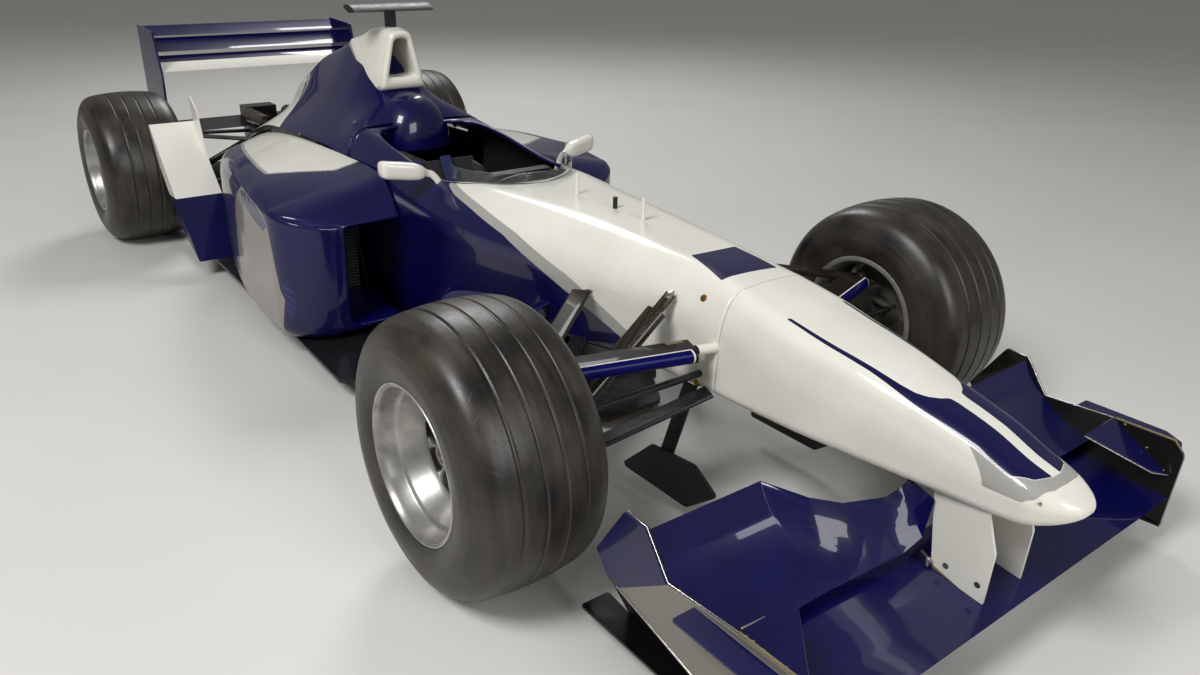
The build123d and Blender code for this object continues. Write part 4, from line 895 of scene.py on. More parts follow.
# Zones of the nose in plan, station and distance from the middle line
NOSE_NAVY = (
    (306, 99), (430, 96), (537, 89), (644, 86), (768, 80), (860, 76), (897, 53), (911, 14), (699, 17),
    (682, 20), (672, 38), (655, 56), (632, 67), (600, 72), (565, 75), (443, 84), (306, 90),
)
NOSE_GREY = (
    (768, 81), (851, 98), (889, 87), (917, 74), (932, 42), (936, -30), (912, -30), (912, 14), (898, 54),
    (861, 77),
)
NOSE_PATCH = ((-47, -70), (-37, 74), (113, 73), (95, -99))
# The panels and the patch end at these heights, so that they stay on top
NOSE_PANELS_ABOVE = 406
NOSE_PATCH_ABOVE = 500


def section_corners(rows, stations):
    """Half corners of the body sections at stations, from the crown down to the low edge."""
    low_half, low_z, mid_half, mid_z, top_half, top_z, crown_z = smooth_rows(rows, stations).T
    zero = np.zeros_like(low_z)
    pairs = ((zero, crown_z), (top_half, top_z), (mid_half, mid_z), (low_half, low_z))
    return np.stack([np.stack(pair, axis=1) for pair in pairs], axis=1)


def body_lines(rows, stations, reaches):
    """Half outlines of a body given by the columns of its table."""
    return half_outlines(section_corners(rows, stations), reaches, CURVE_STEPS, SIDE_STEPS)


def folded_in(line, height):
    """Outline moved a little of the way to the middle line at a height."""
    return line + (np.array([0, height]) - line) * JOINT_FOLD


def cockpit_half(stations):
    """Half width of the cockpit opening: a superellipse, rounder ahead of its widest place than behind."""
    ahead = stations > COCKPIT_MIDDLE
    reach = np.where(ahead, COCKPIT_FRONT - COCKPIT_MIDDLE, COCKPIT_MIDDLE - COCKPIT_BACK)
    power = np.where(ahead, COCKPIT_FRONT_POWER, COCKPIT_BACK_POWER)
    share = np.clip(np.abs(stations - COCKPIT_MIDDLE) / reach, 0, 1)
    return COCKPIT_HALF * (1 - share ** power) ** (1 / power)


def nose_surface():
    """Half grid of the nose: straight rows ahead of the joint, then a taper in a superellipse to the tip."""
    plain = np.linspace(JOINT, NOSE_TAPER, NOSE_STEPS)
    u = np.sin(np.linspace(0, math.pi / 2, NOSE_TIP_STEPS))[1:]
    stations = np.concatenate([plain, NOSE_TAPER + (NOSE_TIP - NOSE_TAPER) * u])
    shrink = np.concatenate([np.ones(len(plain)), (1 - u ** NOSE_TIP_POWER) ** (1 / NOSE_TIP_POWER)])
    middle = np.array([0, TIP_HEIGHT])
    corners = middle + (section_corners(NOSE_ROWS, stations) - middle) * shrink[:, None, None]
    lines = half_outlines(corners, BODY_REACH, NOSE_CURVE_STEPS, NOSE_SIDE_STEPS)
    lines = np.concatenate([folded_in(lines[:1], NOSE_FOLD_HEIGHT), lines])
    stations = np.concatenate([[JOINT], stations])
    stations[1] += JOINT_GAP
    return along_stations(stations, lines)


def tub_surface():
    """Half grid of the tub, each section cut where the cockpit opens."""
    back_turn = np.linspace(math.pi / 2, 0, COCKPIT_BACK_STEPS)
    front_turn = np.linspace(0, math.pi / 2, COCKPIT_FRONT_STEPS)[1:]
    back = COCKPIT_MIDDLE - (COCKPIT_MIDDLE - COCKPIT_BACK) * np.sin(back_turn)
    front = COCKPIT_MIDDLE + (COCKPIT_FRONT - COCKPIT_MIDDLE) * np.sin(front_turn)
    ahead = np.linspace(COCKPIT_FRONT, JOINT - JOINT_GAP, TUB_AHEAD_STEPS)[1:]
    stations = np.concatenate([TUB_BACK, back, front, ahead])
    lines = body_lines(TUB_ROWS, stations, BODY_REACH)
    cuts = [length_to(line, half) for line, half in zip(lines, cockpit_half(stations))]
    rows = np.array([even_steps(line, TUB_COLUMNS, cut) for line, cut in zip(lines, cuts)])
    rows = np.concatenate([rows, folded_in(rows[-1:], TUB_FOLD_HEIGHT)])
    return along_stations(np.concatenate([stations, [JOINT - JOINT_GAP / 2]]), rows)


def side_distance(x, z, line):
    """Distance of points below and behind a line of stations and heights, negative above it."""
    bottom = [(line[-1][0], BELOW_ALL), (BEHIND_ALL, BELOW_ALL), (BEHIND_ALL, line[0][1])]
    return inside_polygon(np.stack([x, z], axis=1), [*line, *bottom])


def paint_hull(obj):
    """Paints nose or tub: white ahead of the grey band, navy behind it, and the nose's panels on top."""
    x, y, z = places_of(obj).T
    behind = side_distance(x, z, BAND_WHITE)
    dark = side_distance(x, z, BAND_NAVY)
    side = np.abs(y)
    plan = np.stack([x, side], axis=1)
    upper = z - NOSE_PANELS_ABOVE
    navy = np.minimum(inside_polygon(plan, NOSE_NAVY), upper)
    patch = np.minimum(inside_polygon(np.stack([x, y], axis=1), NOSE_PATCH), z - NOSE_PATCH_ABOVE)
    white = np.minimum(-behind, np.minimum(-navy, -patch))
    band = np.minimum(behind, -dark)
    grey = np.maximum(band, np.minimum(inside_polygon(plan, NOSE_GREY), upper))
    return paint(obj, white_zone=white, grey_zone=grey)


class CAR_OT_hull(bpy.types.Operator):
    """Makes the nose and the open tub with their walls"""

    bl_idname = "car.hull"
    bl_label = "Nose and tub"

    def execute(self, context):
        nose = Sheets().both(nose_surface()).piece(
            "nose_skin", ("livery",), "white_paint", replaces=("nose_cone",))
        paint_hull(wall(nose, NOSE_SKIN))
        tub = Sheets().both(tub_surface()).piece(
            "tub_skin", ("livery", "inside"), "white_paint", replaces=("monocoque",))
        paint_hull(wall(tub, TUB_SKIN, 1))
        return {"FINISHED"}


# Side pods

POD_FRONT = -1400
POD_LIP = -1235
POD_INNER = 299
# Corners of the mouth from the inner bottom, round the outside, to the inner top
POD_MOUTH = ((POD_INNER, 112), (500, 112), (494, 468), (POD_INNER, 472))
POD_DUCT_END = -1585
# Length of the rounding at the outer top edge, which sharpens towards the front
POD_EDGE_STATIONS = (-1640, -1400)
POD_EDGES = (80, 16)
POD_LOW_REACH = 60
POD_MOUTH_REACH = (0, 50, 34, 0)
POD_LIP_REACH = (0, 50, 16, 0)
POD_LIP_GROWTH = (1.006, 1.008)
# How far behind the lip the throat narrows, and its shares of the way to the middle
POD_THROAT = ((3, (0.045, 0.03)), (22, (0.09, 0.06)))
POD_TOP_SPREAD = 1.6
POD_TOP_POWER = 2.2
POD_STEPS = 110
POD_FRONT_STEPS = 30
POD_CURVE_STEPS = 13
POD_SIDE_STEPS = 41
FLOOR_TOP = 74

# station, outer half, outer top z, inner top z
POD_ROWS = (
    (-1400, 690, 514, 596),
    (-1480, 690, 530, 602),
    (-1600, 688, 548, 601),
    (-1800, 668, 549, 598),
    (-2000, 636, 540, 592),
    (-2200, 592, 525, 580),
    (-2400, 536, 500, 557),
    (-2600, 452, 452, 512),
    (-2740, 384, 402, 452),
)
# Silver panel and its two sets of stripes, as station and height on the pod's side
POD_SILVER = (
    (-1340, 222), (-1356, 250), (-1379, 388), (-1391, 468), (-1422, 496), (-1472, 512), (-1600, 524),
    (-1700, 527), (-1790, 430), (-1850, 250), (-1880, 60), (-1372, 60), (-1368, 104),
)
POD_STRIPES = (
    (
        (-1700, 522), (-1600, 521), (-1472, 508), (-1424, 490), (-1393, 462), (-1440, 436), (-1530, 458),
        (-1640, 488),
    ),
    ((-1350, 262), (-1324, 300), (-1306, 250), (-1304, 190), (-1326, 150), (-1342, 180), (-1336, 222)),
)
# White top, as station and distance from the middle line
POD_WHITE = (
    (-1512, 396), (-1683, 583), (-1800, 573), (-2000, 541), (-2200, 497), (-2400, 441), (-2600, 357),
    (-2760, 290), (-2760, 200), (-1560, 200), (-1520, 330),
)
POD_OUTLINE = 12
POD_OUTLINE_REACH = 20
# The side's zones lie outside the first, and the white top above the second
POD_SIDE_FROM = 470
POD_TOP_FROM = 380


def pod_outline(outer, outer_top, inner_top):
    """Corners of the pod's section from the inner bottom, round the outside, to the inner top."""
    low = np.full_like(outer, FLOOR_TOP)
    inner = np.full_like(outer, POD_INNER)
    corners = ((inner, low), (outer, low), (outer, outer_top), (inner, inner_top))
    return np.stack([np.stack(pair, axis=1) for pair in corners], axis=1)


def open_ring(corners, reaches):
    """Rounded outlines without the side that closes them, from the first corner to the last."""
    rings = rounded_rings(
        corners, np.broadcast_to(reaches, corners.shape[:2]), POD_CURVE_STEPS, POD_SIDE_STEPS)
    return rings[:, POD_CURVE_STEPS - 1:1 - POD_SIDE_STEPS - POD_CURVE_STEPS]


def pod_surface():
    """Left grid of a pod: its body, the front that rolls to the mouth's lip, and the duct.

    Between the body's first section and the lip, a point moves by the share 1 - cos of the angle at
    the side, as a quarter circle does, and by a little over the square of the way along on the top,
    which meets the lip in a crease."""
    stations = np.linspace(POD_ROWS[-1][0], POD_FRONT, POD_STEPS)
    outer, outer_top, inner_top = smooth_rows(POD_ROWS, stations).T
    edge = np.interp(stations, POD_EDGE_STATIONS, POD_EDGES)
    none = np.zeros_like(edge)
    reaches = np.stack([none, none + POD_LOW_REACH, edge, none], axis=1)
    body = open_ring(pod_outline(outer, outer_top, inner_top), reaches)
    first = body[-1]
    mouth = open_ring(np.array([POD_MOUTH], float), POD_MOUTH_REACH)[0]
    lip = open_ring(np.array([POD_MOUTH], float), POD_LIP_REACH)[0] * POD_LIP_GROWTH
    turn = np.linspace(0, math.pi / 2, POD_FRONT_STEPS)[1:]
    u = np.sin(turn)
    rising = np.gradient(first, axis=0)
    lean = -rising[:, 0] / np.maximum(np.linalg.norm(rising, axis=1), 1e-6)
    upper = np.clip(lean * POD_TOP_SPREAD, 0, 1)
    side_share = 1 - np.cos(turn)
    top_share = u ** POD_TOP_POWER
    share = side_share[:, None] * (1 - upper)[None] + top_share[:, None] * upper[None]
    front = first[None] + (lip - first)[None] * share[..., None]
    inwards = mouth.mean(axis=0) - mouth
    throat = [mouth + inwards * np.array(shares) for _, shares in POD_THROAT]
    lines = np.concatenate([body, front, [mouth, *throat, throat[-1]]])
    ends = [POD_LIP, *(POD_LIP - depth for depth, _ in POD_THROAT), POD_DUCT_END]
    x = np.concatenate([stations, POD_FRONT + (POD_LIP - POD_FRONT) * u, ends])
    lines[..., 0] = np.maximum(lines[..., 0], POD_INNER)
    return along_stations(x, lines)


def paint_pod(obj):
    """Paints a pod: silver panel with its stripes on the side, and white on top within a grey line."""
    x, y, z = places_of(obj).T
    side = np.abs(y)
    flat = np.stack([x, z], axis=1)
    silver = np.minimum(inside_polygon(flat, POD_SILVER), side - POD_SIDE_FROM)
    stripes, faint = (
        np.where(side > POD_SIDE_FROM, inside_polygon(flat, corners), FAR_OUTSIDE) for corners in POD_STRIPES)
    plan = inside_polygon(np.stack([x, side], axis=1), POD_WHITE)
    white = np.minimum(plan, z - POD_TOP_FROM)
    line = POD_OUTLINE / 2 - np.abs(white - POD_OUTLINE / 2)
    grey = np.where(white > -POD_OUTLINE_REACH, line, FAR_OUTSIDE)
    return paint(
        obj, white_zone=white, silver_zone=silver, stripe_zone=stripes, faint_zone=faint, grey_zone=grey)


class CAR_OT_pods(bpy.types.Operator):
    """Makes the two side pods with their ducts"""

    bl_idname = "car.pods"
    bl_label = "Side pods"

    def execute(self, context):
        left = pod_surface()
        for side, points, flip in (
            ("left", left, False),
            ("right", left * np.array([1, -1, 1]), True),
        ):
            pod = Sheets().add(points, flip=flip).piece(
                f"sidepod_skin_{side}", ("livery",), "navy_paint", replaces=(f"sidepod_{side}",))
            paint_pod(pod)
        return {"FINISHED"}


# Engine cover, headrest and airbox

# station, edge half, edge z, waist half, waist z, top half, top z, crown z
COVER_ROWS = (
    (-1640, 300, 592, 250, 693, 160, 699, 700),
    (-1700, 300, 596, 238, 704, 120, 748, 752),
    (-1760, 300, 600, 220, 706, 92, 788, 796),
    (-1830, 300, 604, 204, 704, 78, 840, 852),
    (-1930, 301, 604, 196, 700, 62, 905, 925),
    (-2090, 301, 600, 188, 690, 42, 935, 952),
    (-2280, 301, 592, 170, 676, 38, 888, 900),
    (-2450, 301, 578, 150, 658, 34, 838, 849),
    (-2600, 301, 540, 128, 625, 30, 772, 783),
    (-2763, 280, 486, 104, 572, 26, 694, 704),
    (-2880, 200, 466, 84, 530, 22, 604, 614),
    (-2950, 130, 460, 70, 498, 20, 538, 546),
)
COVER_REACH = (26, 70, 110, 8)
COVER_STEPS = 118
# White flank at the rear, as station and height
COVER_FLANK = (
    (-2640, 735), (-2590, 715), (-2330, 596), (-2250, 560), (-2250, 400), (-3100, 400), (-3100, 600),
)
# Station and height of the bulge's middle, its half sizes, and its powers along and round
HEADREST = ((-1770, 600), (188, 150, 193), (2.7, 2.2))
HEADREST_STEPS = (30, 34)
# station, low half, low z, mid half, mid z, top half, top z, crown z
AIRBOX_ROWS = (
    (-2115, 52, 925, 50, 932, 38, 950, 957),
    (-2020, 74, 880, 70, 908, 40, 972, 982),
    (-1930, 90, 826, 84, 872, 42, 1000, 1009),
    (-1860, 98, 796, 90, 856, 43, 1010, 1019),
    (-1800, 94, 786, 88, 850, 43, 1012, 1021),
    (-1762, 86, 800, 84, 846, 41, 1006, 1014),
)
AIRBOX_REACH = (34, 30, 20, 16)
AIRBOX_STEPS = 40
AIRBOX_COLUMNS = 64
AIRBOX_BAND_HALF = 20
INLET_HALVES = ((0, 984), (27, 976), (56, 846), (0, 842))
INLET_REACH = (18, 20, 16, 0)
INLET_FACE = -1762
INLET_DEPTH = -1950
INLET_NARROWING = 0.1
LIP_OUT = 16
LIP_STEPS = 13


def cover_surface():
    """Half grid of the engine cover, from the headrest to the tail, down into its lower edge."""
    stations = np.linspace(COVER_ROWS[-1][0], COVER_ROWS[0][0], COVER_STEPS)
    lines = body_lines(COVER_ROWS, stations, COVER_REACH)
    return along_stations(stations, lines[:, :3 * (CURVE_STEPS + SIDE_STEPS)])


def headrest_surface():
    """Half grid of the padded bulge behind the cockpit: a quarter of a blunt superellipsoid."""
    (x, z), (length, half, height), (power, round_power) = HEADREST
    turn = np.linspace(0, math.pi / 2, HEADREST_STEPS[0])
    ahead = np.sin(turn) ** (2 / power)
    shrink = np.maximum(np.cos(turn), 0) ** (2 / power)
    around = np.linspace(math.pi / 2, 0, HEADREST_STEPS[1])
    y = half * shrink[:, None] * np.cos(around)[None] ** (2 / round_power)
    rise = height * shrink[:, None] * np.sin(around)[None] ** (2 / round_power)
    place = np.broadcast_to((x + length * ahead)[:, None], y.shape)
    return along(np.stack([place, y, z + rise], axis=2))


def airbox_surface():
    """Half grid of the airbox: its shell, the round lip of the inlet and the duct behind it.

    The lip is half a round: its rows go from the shell to the mouth by 1 - cos of the angle, and
    stand out by its sine."""
    stations = np.linspace(AIRBOX_ROWS[0][0], INLET_FACE, AIRBOX_STEPS)
    lines = body_lines(AIRBOX_ROWS, stations, AIRBOX_REACH)
    inlet = half_outlines(np.array([INLET_HALVES], float), INLET_REACH, CURVE_STEPS, SIDE_STEPS)[0]
    lines = np.array([even_steps(line, AIRBOX_COLUMNS) for line in lines])
    first, mouth = lines[-1], even_steps(inlet, AIRBOX_COLUMNS)
    turn = np.linspace(0, math.pi, LIP_STEPS)[1:]
    share = (1 - np.cos(turn)) / 2
    lip = first[None] + (mouth - first)[None] * share[:, None, None]
    deep = mouth + (mouth.mean(axis=0) - mouth) * INLET_NARROWING
    rows = np.concatenate([lines, lip, deep[None]])
    x = np.concatenate([stations, INLET_FACE + LIP_OUT * np.sin(turn), [INLET_DEPTH]])
    return along_stations(x, rows)


def paint_cover(obj):
    """Paints the cover navy with its white flank at the rear."""
    x, _, z = places_of(obj).T
    flank = inside_polygon(np.stack([x, z], axis=1), COVER_FLANK)
    return paint(obj, white_zone=flank)


def paint_airbox(obj):
    """Paints the airbox white with a grey band along its lower edge, behind the inlet's lip."""
    x, _, z = places_of(obj).T
    seam = smooth_rows([(row[0], row[2]) for row in AIRBOX_ROWS], x)[:, 0]
    grey = np.where(x < INLET_FACE - 2, AIRBOX_BAND_HALF - np.abs(z - seam), FAR_OUTSIDE)
    return paint(obj, white_zone=np.full(len(x), WELL_INSIDE), grey_zone=grey)


class CAR_OT_cover(bpy.types.Operator):
    """Makes the engine cover, the headrest bulge and the airbox"""

    bl_idname = "car.cover"
    bl_label = "Engine cover"

    def execute(self, context):
        sheets = Sheets().both(cover_surface()).both(headrest_surface(), flip=True)
        cover = sheets.piece("engine_cover_skin", ("livery",), "navy_paint", replaces=("engine_cover",))
        paint_cover(cover)
        airbox = Sheets().both(airbox_surface()).piece(
            "airbox_skin", ("livery",), "white_paint", replaces=("airbox",))
        paint_airbox(airbox)
        return {"FINISHED"}


# Wheels

# Inset from the side, drop from the tread, from the tread's edge down to the flange
TYRE_SHOULDER = (
    (62, 9), (46, 14), (33, 21), (23, 31), (14, 46), (7, 64), (2, 82), (0, 96), (1.5, 112), (6, 128),
    (11, 142),
)
# The tyres stop this far above the ground
TYRE_CLEAR = 0.02
TREAD_CROWN = 9
TREAD_STEPS = 23
WALL_STEPS = 34
GROOVE_PLACES = (-75, -25, 25, 75)
GROOVE_HALF = 5
GROOVE_STEPS = (-6.5, -5, -4, -2.5, 0, 2.5, 4, 5, 6.5)
FLANGE_RADIUS = 182
RIM_INSET = 11
RIM_STEPS = 128
SPOKES = 10
SPOKE_INNER = 44
SPOKE_OUTER = 136
SPOKE_FACE = 100
SPOKE_DEPTH = 20
# Half width of a blade, and how much it flares at the dish and at the hub
SPOKE_HALF = 4.5
SPOKE_FLARE_OUT = 24
SPOKE_FLARE_IN = 5
RING_STEPS = 48
DISC_STEPS = 96
NUT_POINTS = 6
PEG_STEPS = 12
WHEEL_SHARP_DEG = 40

WHEELS = (
    ("front_left", 1), ("front_right", -1), ("rear_left", 1), ("rear_right", -1),
)


def tyre_profile(half, radius, groove_mm):
    """Outward place and radius of a tyre from its inner to its outer bead, crowned and grooved.

    The tread is a flat parabola with round bottomed grooves, and the shoulder and wall are a smooth
    line through the table's points, with two low ribs."""
    edge = half - TYRE_SHOULDER[0][0]
    near = [place + step for place in GROOVE_PLACES for step in GROOVE_STEPS]
    across = np.unique(np.concatenate([np.linspace(-edge, edge, TREAD_STEPS), near]))
    across = across[np.abs(across) <= edge]
    crown = radius - TREAD_CROWN * (across / edge) ** 2
    nearest = np.min(np.abs(across[:, None] - np.array(GROOVE_PLACES)[None]), axis=1)
    depth = np.clip(1 - (nearest / GROOVE_HALF) ** 2, 0, 1) ** 0.5
    tread = np.stack([across, crown - groove_mm * depth], axis=1)
    wall_points = [(half - inset, radius - drop) for inset, drop in TYRE_SHOULDER]
    wall_line = smooth_line(wall_points, WALL_STEPS)[1:]
    for height, place, wide in ((0.88, radius - 70, 2.2), (1.04, FLANGE_RADIUS + 16, 2.6)):
        wall_line[:, 0] += height * np.exp(-((wall_line[:, 1] - place) / wide) ** 2)
    bead = [(half - RIM_INSET - 3, FLANGE_RADIUS + 0.4), (half - RIM_INSET - 13, FLANGE_RADIUS - 4)]
    outer = np.concatenate([wall_line, bead])
    inner = outer[::-1] * np.array([-1, 1])
    return np.concatenate([inner, tread, outer])


def rim_profile(lip):
    """Closed outline of the rim's barrel: round double lip, a step, then the wide cone of the dish."""
    outside = [
        (-lip, 178), (-lip + 2, 182), (-lip + 9, 182), (-lip + 12, 172), (-lip + 30, 166), (lip - 30, 166),
        (lip - 12, 172), (lip - 9, 182), (lip - 2, 183.5), (lip + 1, 181.5), (lip + 1.5, 178),
    ]
    dish = [
        (lip - 1, 175.5), (lip - 3, 174.5), (lip - 2.5, 172.5), (lip - 5, 170.5), (lip - 14, 168.5),
        (lip - 40, 163), (lip - 45, 160), (lip - 47, 156), (lip - 52, 153), (lip - 90, 131),
        (lip - 97, 127), (lip - 103, 126), (lip - 109, 130), (lip - 116, 142), (lip - 124, 156),
        (-lip + 10, 160), (-lip, 168),
    ]
    return outside + dish


def spoke_surface(face):
    """One spoke at a turn of nought: a thin blade that flares where it meets the dish and the hub.

    Its half width grows by the seventh power of the way out and the fifth power of the way in. Its
    section is a rounded rectangle, 3 mm thinner each side at the dish, and the blade lies back by
    2.4 mm times the square of the way in."""
    share = np.linspace(0, 1, 20)
    radius = SPOKE_INNER + (SPOKE_OUTER - SPOKE_INNER) * share
    half = SPOKE_HALF + SPOKE_FLARE_OUT * share ** 7 + SPOKE_FLARE_IN * (1 - share) ** 5
    section = superellipse(20, 3.2)
    wide = half[:, None] * section[None, :, 0]
    deep = (SPOKE_DEPTH / 2 - 3 * share[:, None]) * section[None, :, 1]
    place = face - SPOKE_DEPTH / 2 + deep - 2.4 * (1 - share[:, None]) ** 2
    return np.stack([np.broadcast_to(radius[:, None], wide.shape), wide, place], axis=2)


def peg(radius, reach, places):
    """Round peg at a reach from the axle, along a row of outward places, all in millimetres."""
    ring = superellipse(PEG_STEPS, 2) * radius
    return np.stack(np.broadcast_arrays(
        reach + ring[None, :, 0], ring[None, :, 1], np.array(places, float)[:, None]), axis=2)


def spin(points, turn, centre, side):
    """Places in metres of radius, sideways and outward sizes in millimetres at a turn of a wheel."""
    c, s = math.cos(turn), math.sin(turn)
    x = points[..., 0] * c - points[..., 1] * s
    z = points[..., 0] * s + points[..., 1] * c
    y = side * points[..., 2]
    return np.stack([x, y, z], axis=-1) * MM + centre


class CAR_OT_wheels(bpy.types.Operator):
    """Makes the tyres, the rims and the hubs with their discs and nuts"""

    bl_idname = "car.wheels"
    bl_label = "Wheels"

    def execute(self, context):
        sizes = context.scene.car_wheels
        for name, side in WHEELS:
            centre = joint_place(f"spin_{name}")
            half = OVERALL_HALF - abs(centre[1]) / MM
            profile = tyre_profile(half, centre[2] / MM - TYRE_CLEAR, sizes.groove / MM)
            tyre = Sheets().add(turned(profile, centre, side, sizes.turns), wrap_rows=True)
            self.piece(tyre, "tyre", name, ("rubber",), "tyre_rubber")
            face = half - RIM_INSET - SPOKE_FACE
            rim = self.rim(side, centre, half - RIM_INSET, face)
            crisp(self.piece(rim, "rim", name, ("rim",), "rim_metal"), WHEEL_SHARP_DEG)
            hub = self.hub(side, centre, face, face - SPOKE_DEPTH)
            crisp(self.piece(hub, "hub", name, ("steel", "disc"), "steel"), WHEEL_SHARP_DEG)
        return {"FINISHED"}

    def piece(self, sheets, kind, name, finishes, slot):
        """Makes a tyre, a rim or a hub, which stands for the node of its wheel."""
        node = f"{kind}_{name}"
        return sheets.piece(f"{kind}_skin_{name}", finishes, slot, BODY_OF[node], (node,), outward=True)

    def rim(self, side, centre, lip, face):
        """One cast rim: barrel, ten spokes and the ring round the axle."""
        sheets = Sheets()
        sheets.add(turned(rim_profile(lip), centre, side, RIM_STEPS), wrap_rows=True, wrap_columns=True)
        blade = spoke_surface(face)
        for angle in turns(SPOKES) + math.pi / SPOKES:
            sheets.add(spin(blade, angle, centre, side), wrap_columns=True)
        back = face - SPOKE_DEPTH
        ring = ((face - 2, 27), (face, 31), (face, 44), (face - 4, 50), (back, 52), (back, 27))
        return sheets.add(turned(ring, centre, side, RING_STEPS), wrap_rows=True, wrap_columns=True)

    def hub(self, side, centre, face, back):
        """One hub: disc with a groove round its edge, bell, drive pins and the nut with its lobes."""
        disc = [
            (back - 4, 26), (back - 4, 70), (back - 18, 76), (back - 26, 84), (back - 30, 96),
            (back - 30, 139), (back - 34, 140), (back - 41, 137), (back - 45, 137), (back - 52, 140),
            (back - 56, 139), (back - 56, 60), (back - 80, 40), (back - 80, 26),
        ]
        nut = [
            (face - 6, 0.01), (face - 6, 33), (face + 3, 34), (face + 5, 32), (face + 22, 30),
            (face + 26, 26), (face + 26, 18), (face + 14, 15), (face + 14, 0.01),
        ]
        sheets = Sheets().add(turned(disc, centre, side, DISC_STEPS), wrap_rows=True, slot=1)
        sheets.add(turned(nut, centre, side, 6 * NUT_POINTS), wrap_rows=True)
        lobe = peg(6, 30, (face + 4, face + 20, face + 23))
        pin = peg(7, 62, (back - 10, back + 6))
        for angle in turns(NUT_POINTS):
            sheets.add(spin(lobe, angle, centre, side), wrap_columns=True)
            sheets.add(spin(pin, angle + 0.5, centre, side), wrap_columns=True)
        return sheets


# Pieces kept from the model

# node, finish and width of its softened edges
DRESSED = (
    ("nose_pillars", "pillar", 1.5), ("front_wing_main", "navy", 0.8), ("front_wing_flaps", "navy", 0.6),
    ("front_wing_endplates", "end_plate", 1.2), ("radiators", "core", 0), ("camera_pod", "plastic", 2.0),
    ("floor", "carbon", 1.5), ("plank", "plank", 1.5), ("diffuser", "carbon", 1.0),
    ("engine_block", "cast", 4.0), ("gearbox", "carbon", 4.0), ("crash_structure", "carbon", 3.0),
    ("rain_light", "lamp", 3.0), ("exhaust_pipes", "exhaust", 0.5), ("rear_wing_upper", "rear_wing", 0.5),
    ("rear_wing_beam", "black", 0.5), ("rear_wing_endplates", "navy", 1.2), ("flip_ups", "flip_up", 1.0),
    ("turning_vanes", "carbon", 1.2), ("bargeboards", "navy", 1.2),
    ("windscreen", "screen", 0), ("aerials", "aerial", 1.0), ("seat", "cloth", 4.0),
    ("wishbones_front_upper", "fairing", 0.8), ("wishbones_front_lower", "carbon", 0.8),
    ("pushrods_front", "bronze_carbon", 0.8), ("wishbones_rear_upper", "carbon", 0.8),
    ("wishbones_rear_lower", "carbon", 0.8), ("pushrods_rear", "carbon", 0.8), ("uprights_rear", "cast", 2.0),
    ("upright_front_left", "cast", 2.0), ("upright_front_right", "cast", 2.0), ("track_rods", "carbon", 0.5),
    ("steering_wheel", "plastic", 3.0),
)


class CAR_OT_dressed(bpy.types.Operator):
    """Gives the pieces that keep their shape softened edges and a finish"""

    bl_idname = "car.dressed"
    bl_label = "Other pieces"

    def execute(self, context):
        for node, finish_name, edge in DRESSED:
            dressed(node, finish_name, edge)
        return {"FINISHED"}


# Mirrors

# sideways place, half depth, half height of a mirror's body, from its stalk to its outer end
MIRROR_ROWS = (
    (258, 5, 5), (270, 9, 10), (286, 18, 21), (302, 23, 26), (335, 25, 28), (392, 25, 28), (404, 22, 25),
    (410, 14, 16), (411.5, 5, 6),
)
MIRROR_AXIS = ((-1070, 258, 652), (-1112, 411.5, 670))
MIRROR_STEPS = 84
MIRROR_GLASS = ((-1109, 296, 656), (-1133, 392, 668))
# Size of the first and last outline of a body, small enough to close it
POLE = 0.001
STALK = ((-1070, 272, 650), (-1068, 256, 646), (-1064, 242, 632), (-1060, 230, 612), (-1058, 222, 596))


def mirror_surface():
    """Left mirror's body: oval sections along a leaning axis, closed at both ends."""
    y = np.linspace(MIRROR_ROWS[0][0], MIRROR_ROWS[-1][0], MIRROR_STEPS)
    deep, high = smooth_rows(MIRROR_ROWS, y).T
    share = (y - y[0]) / (y[-1] - y[0])
    start_place, end_place = np.array(MIRROR_AXIS, float)
    centre = start_place + (end_place - start_place) * share[:, None]
    ring = superellipse(40, 3.4)
    closing = np.ones(len(y))
    closing[0] = closing[-1] = POLE
    x = centre[:, :1] + ring[None, :, 0] * (deep * closing)[:, None]
    z = centre[:, 2:] + ring[None, :, 1] * (high * closing)[:, None]
    return along(np.stack([x, np.broadcast_to(y[:, None], x.shape), z], axis=2))


class CAR_OT_mirrors(bpy.types.Operator):
    """Makes the two mirrors, their stalks and their glasses"""

    bl_idname = "car.mirrors"
    bl_label = "Mirrors"

    def execute(self, context):
        stalk = capped(along(smooth_line(STALK, 24)), oval(11, 5, 16), up=(1, 0, 0), round_off=0.3)
        sheets = Sheets().both(mirror_surface(), wrap_columns=True).both(stalk, wrap_columns=True)
        glass = capped(along(MIRROR_GLASS), oval(19, 2.2, 20, 6), up=(1, 0, 0), round_off=0.1)
        sheets.both(glass, slot=1, wrap_columns=True)
        sheets.piece(
            "mirror_skins", ("white", "mirror"), "white_paint", replaces=("mirrors",), outward=True)
        return {"FINISHED"}


# Trim

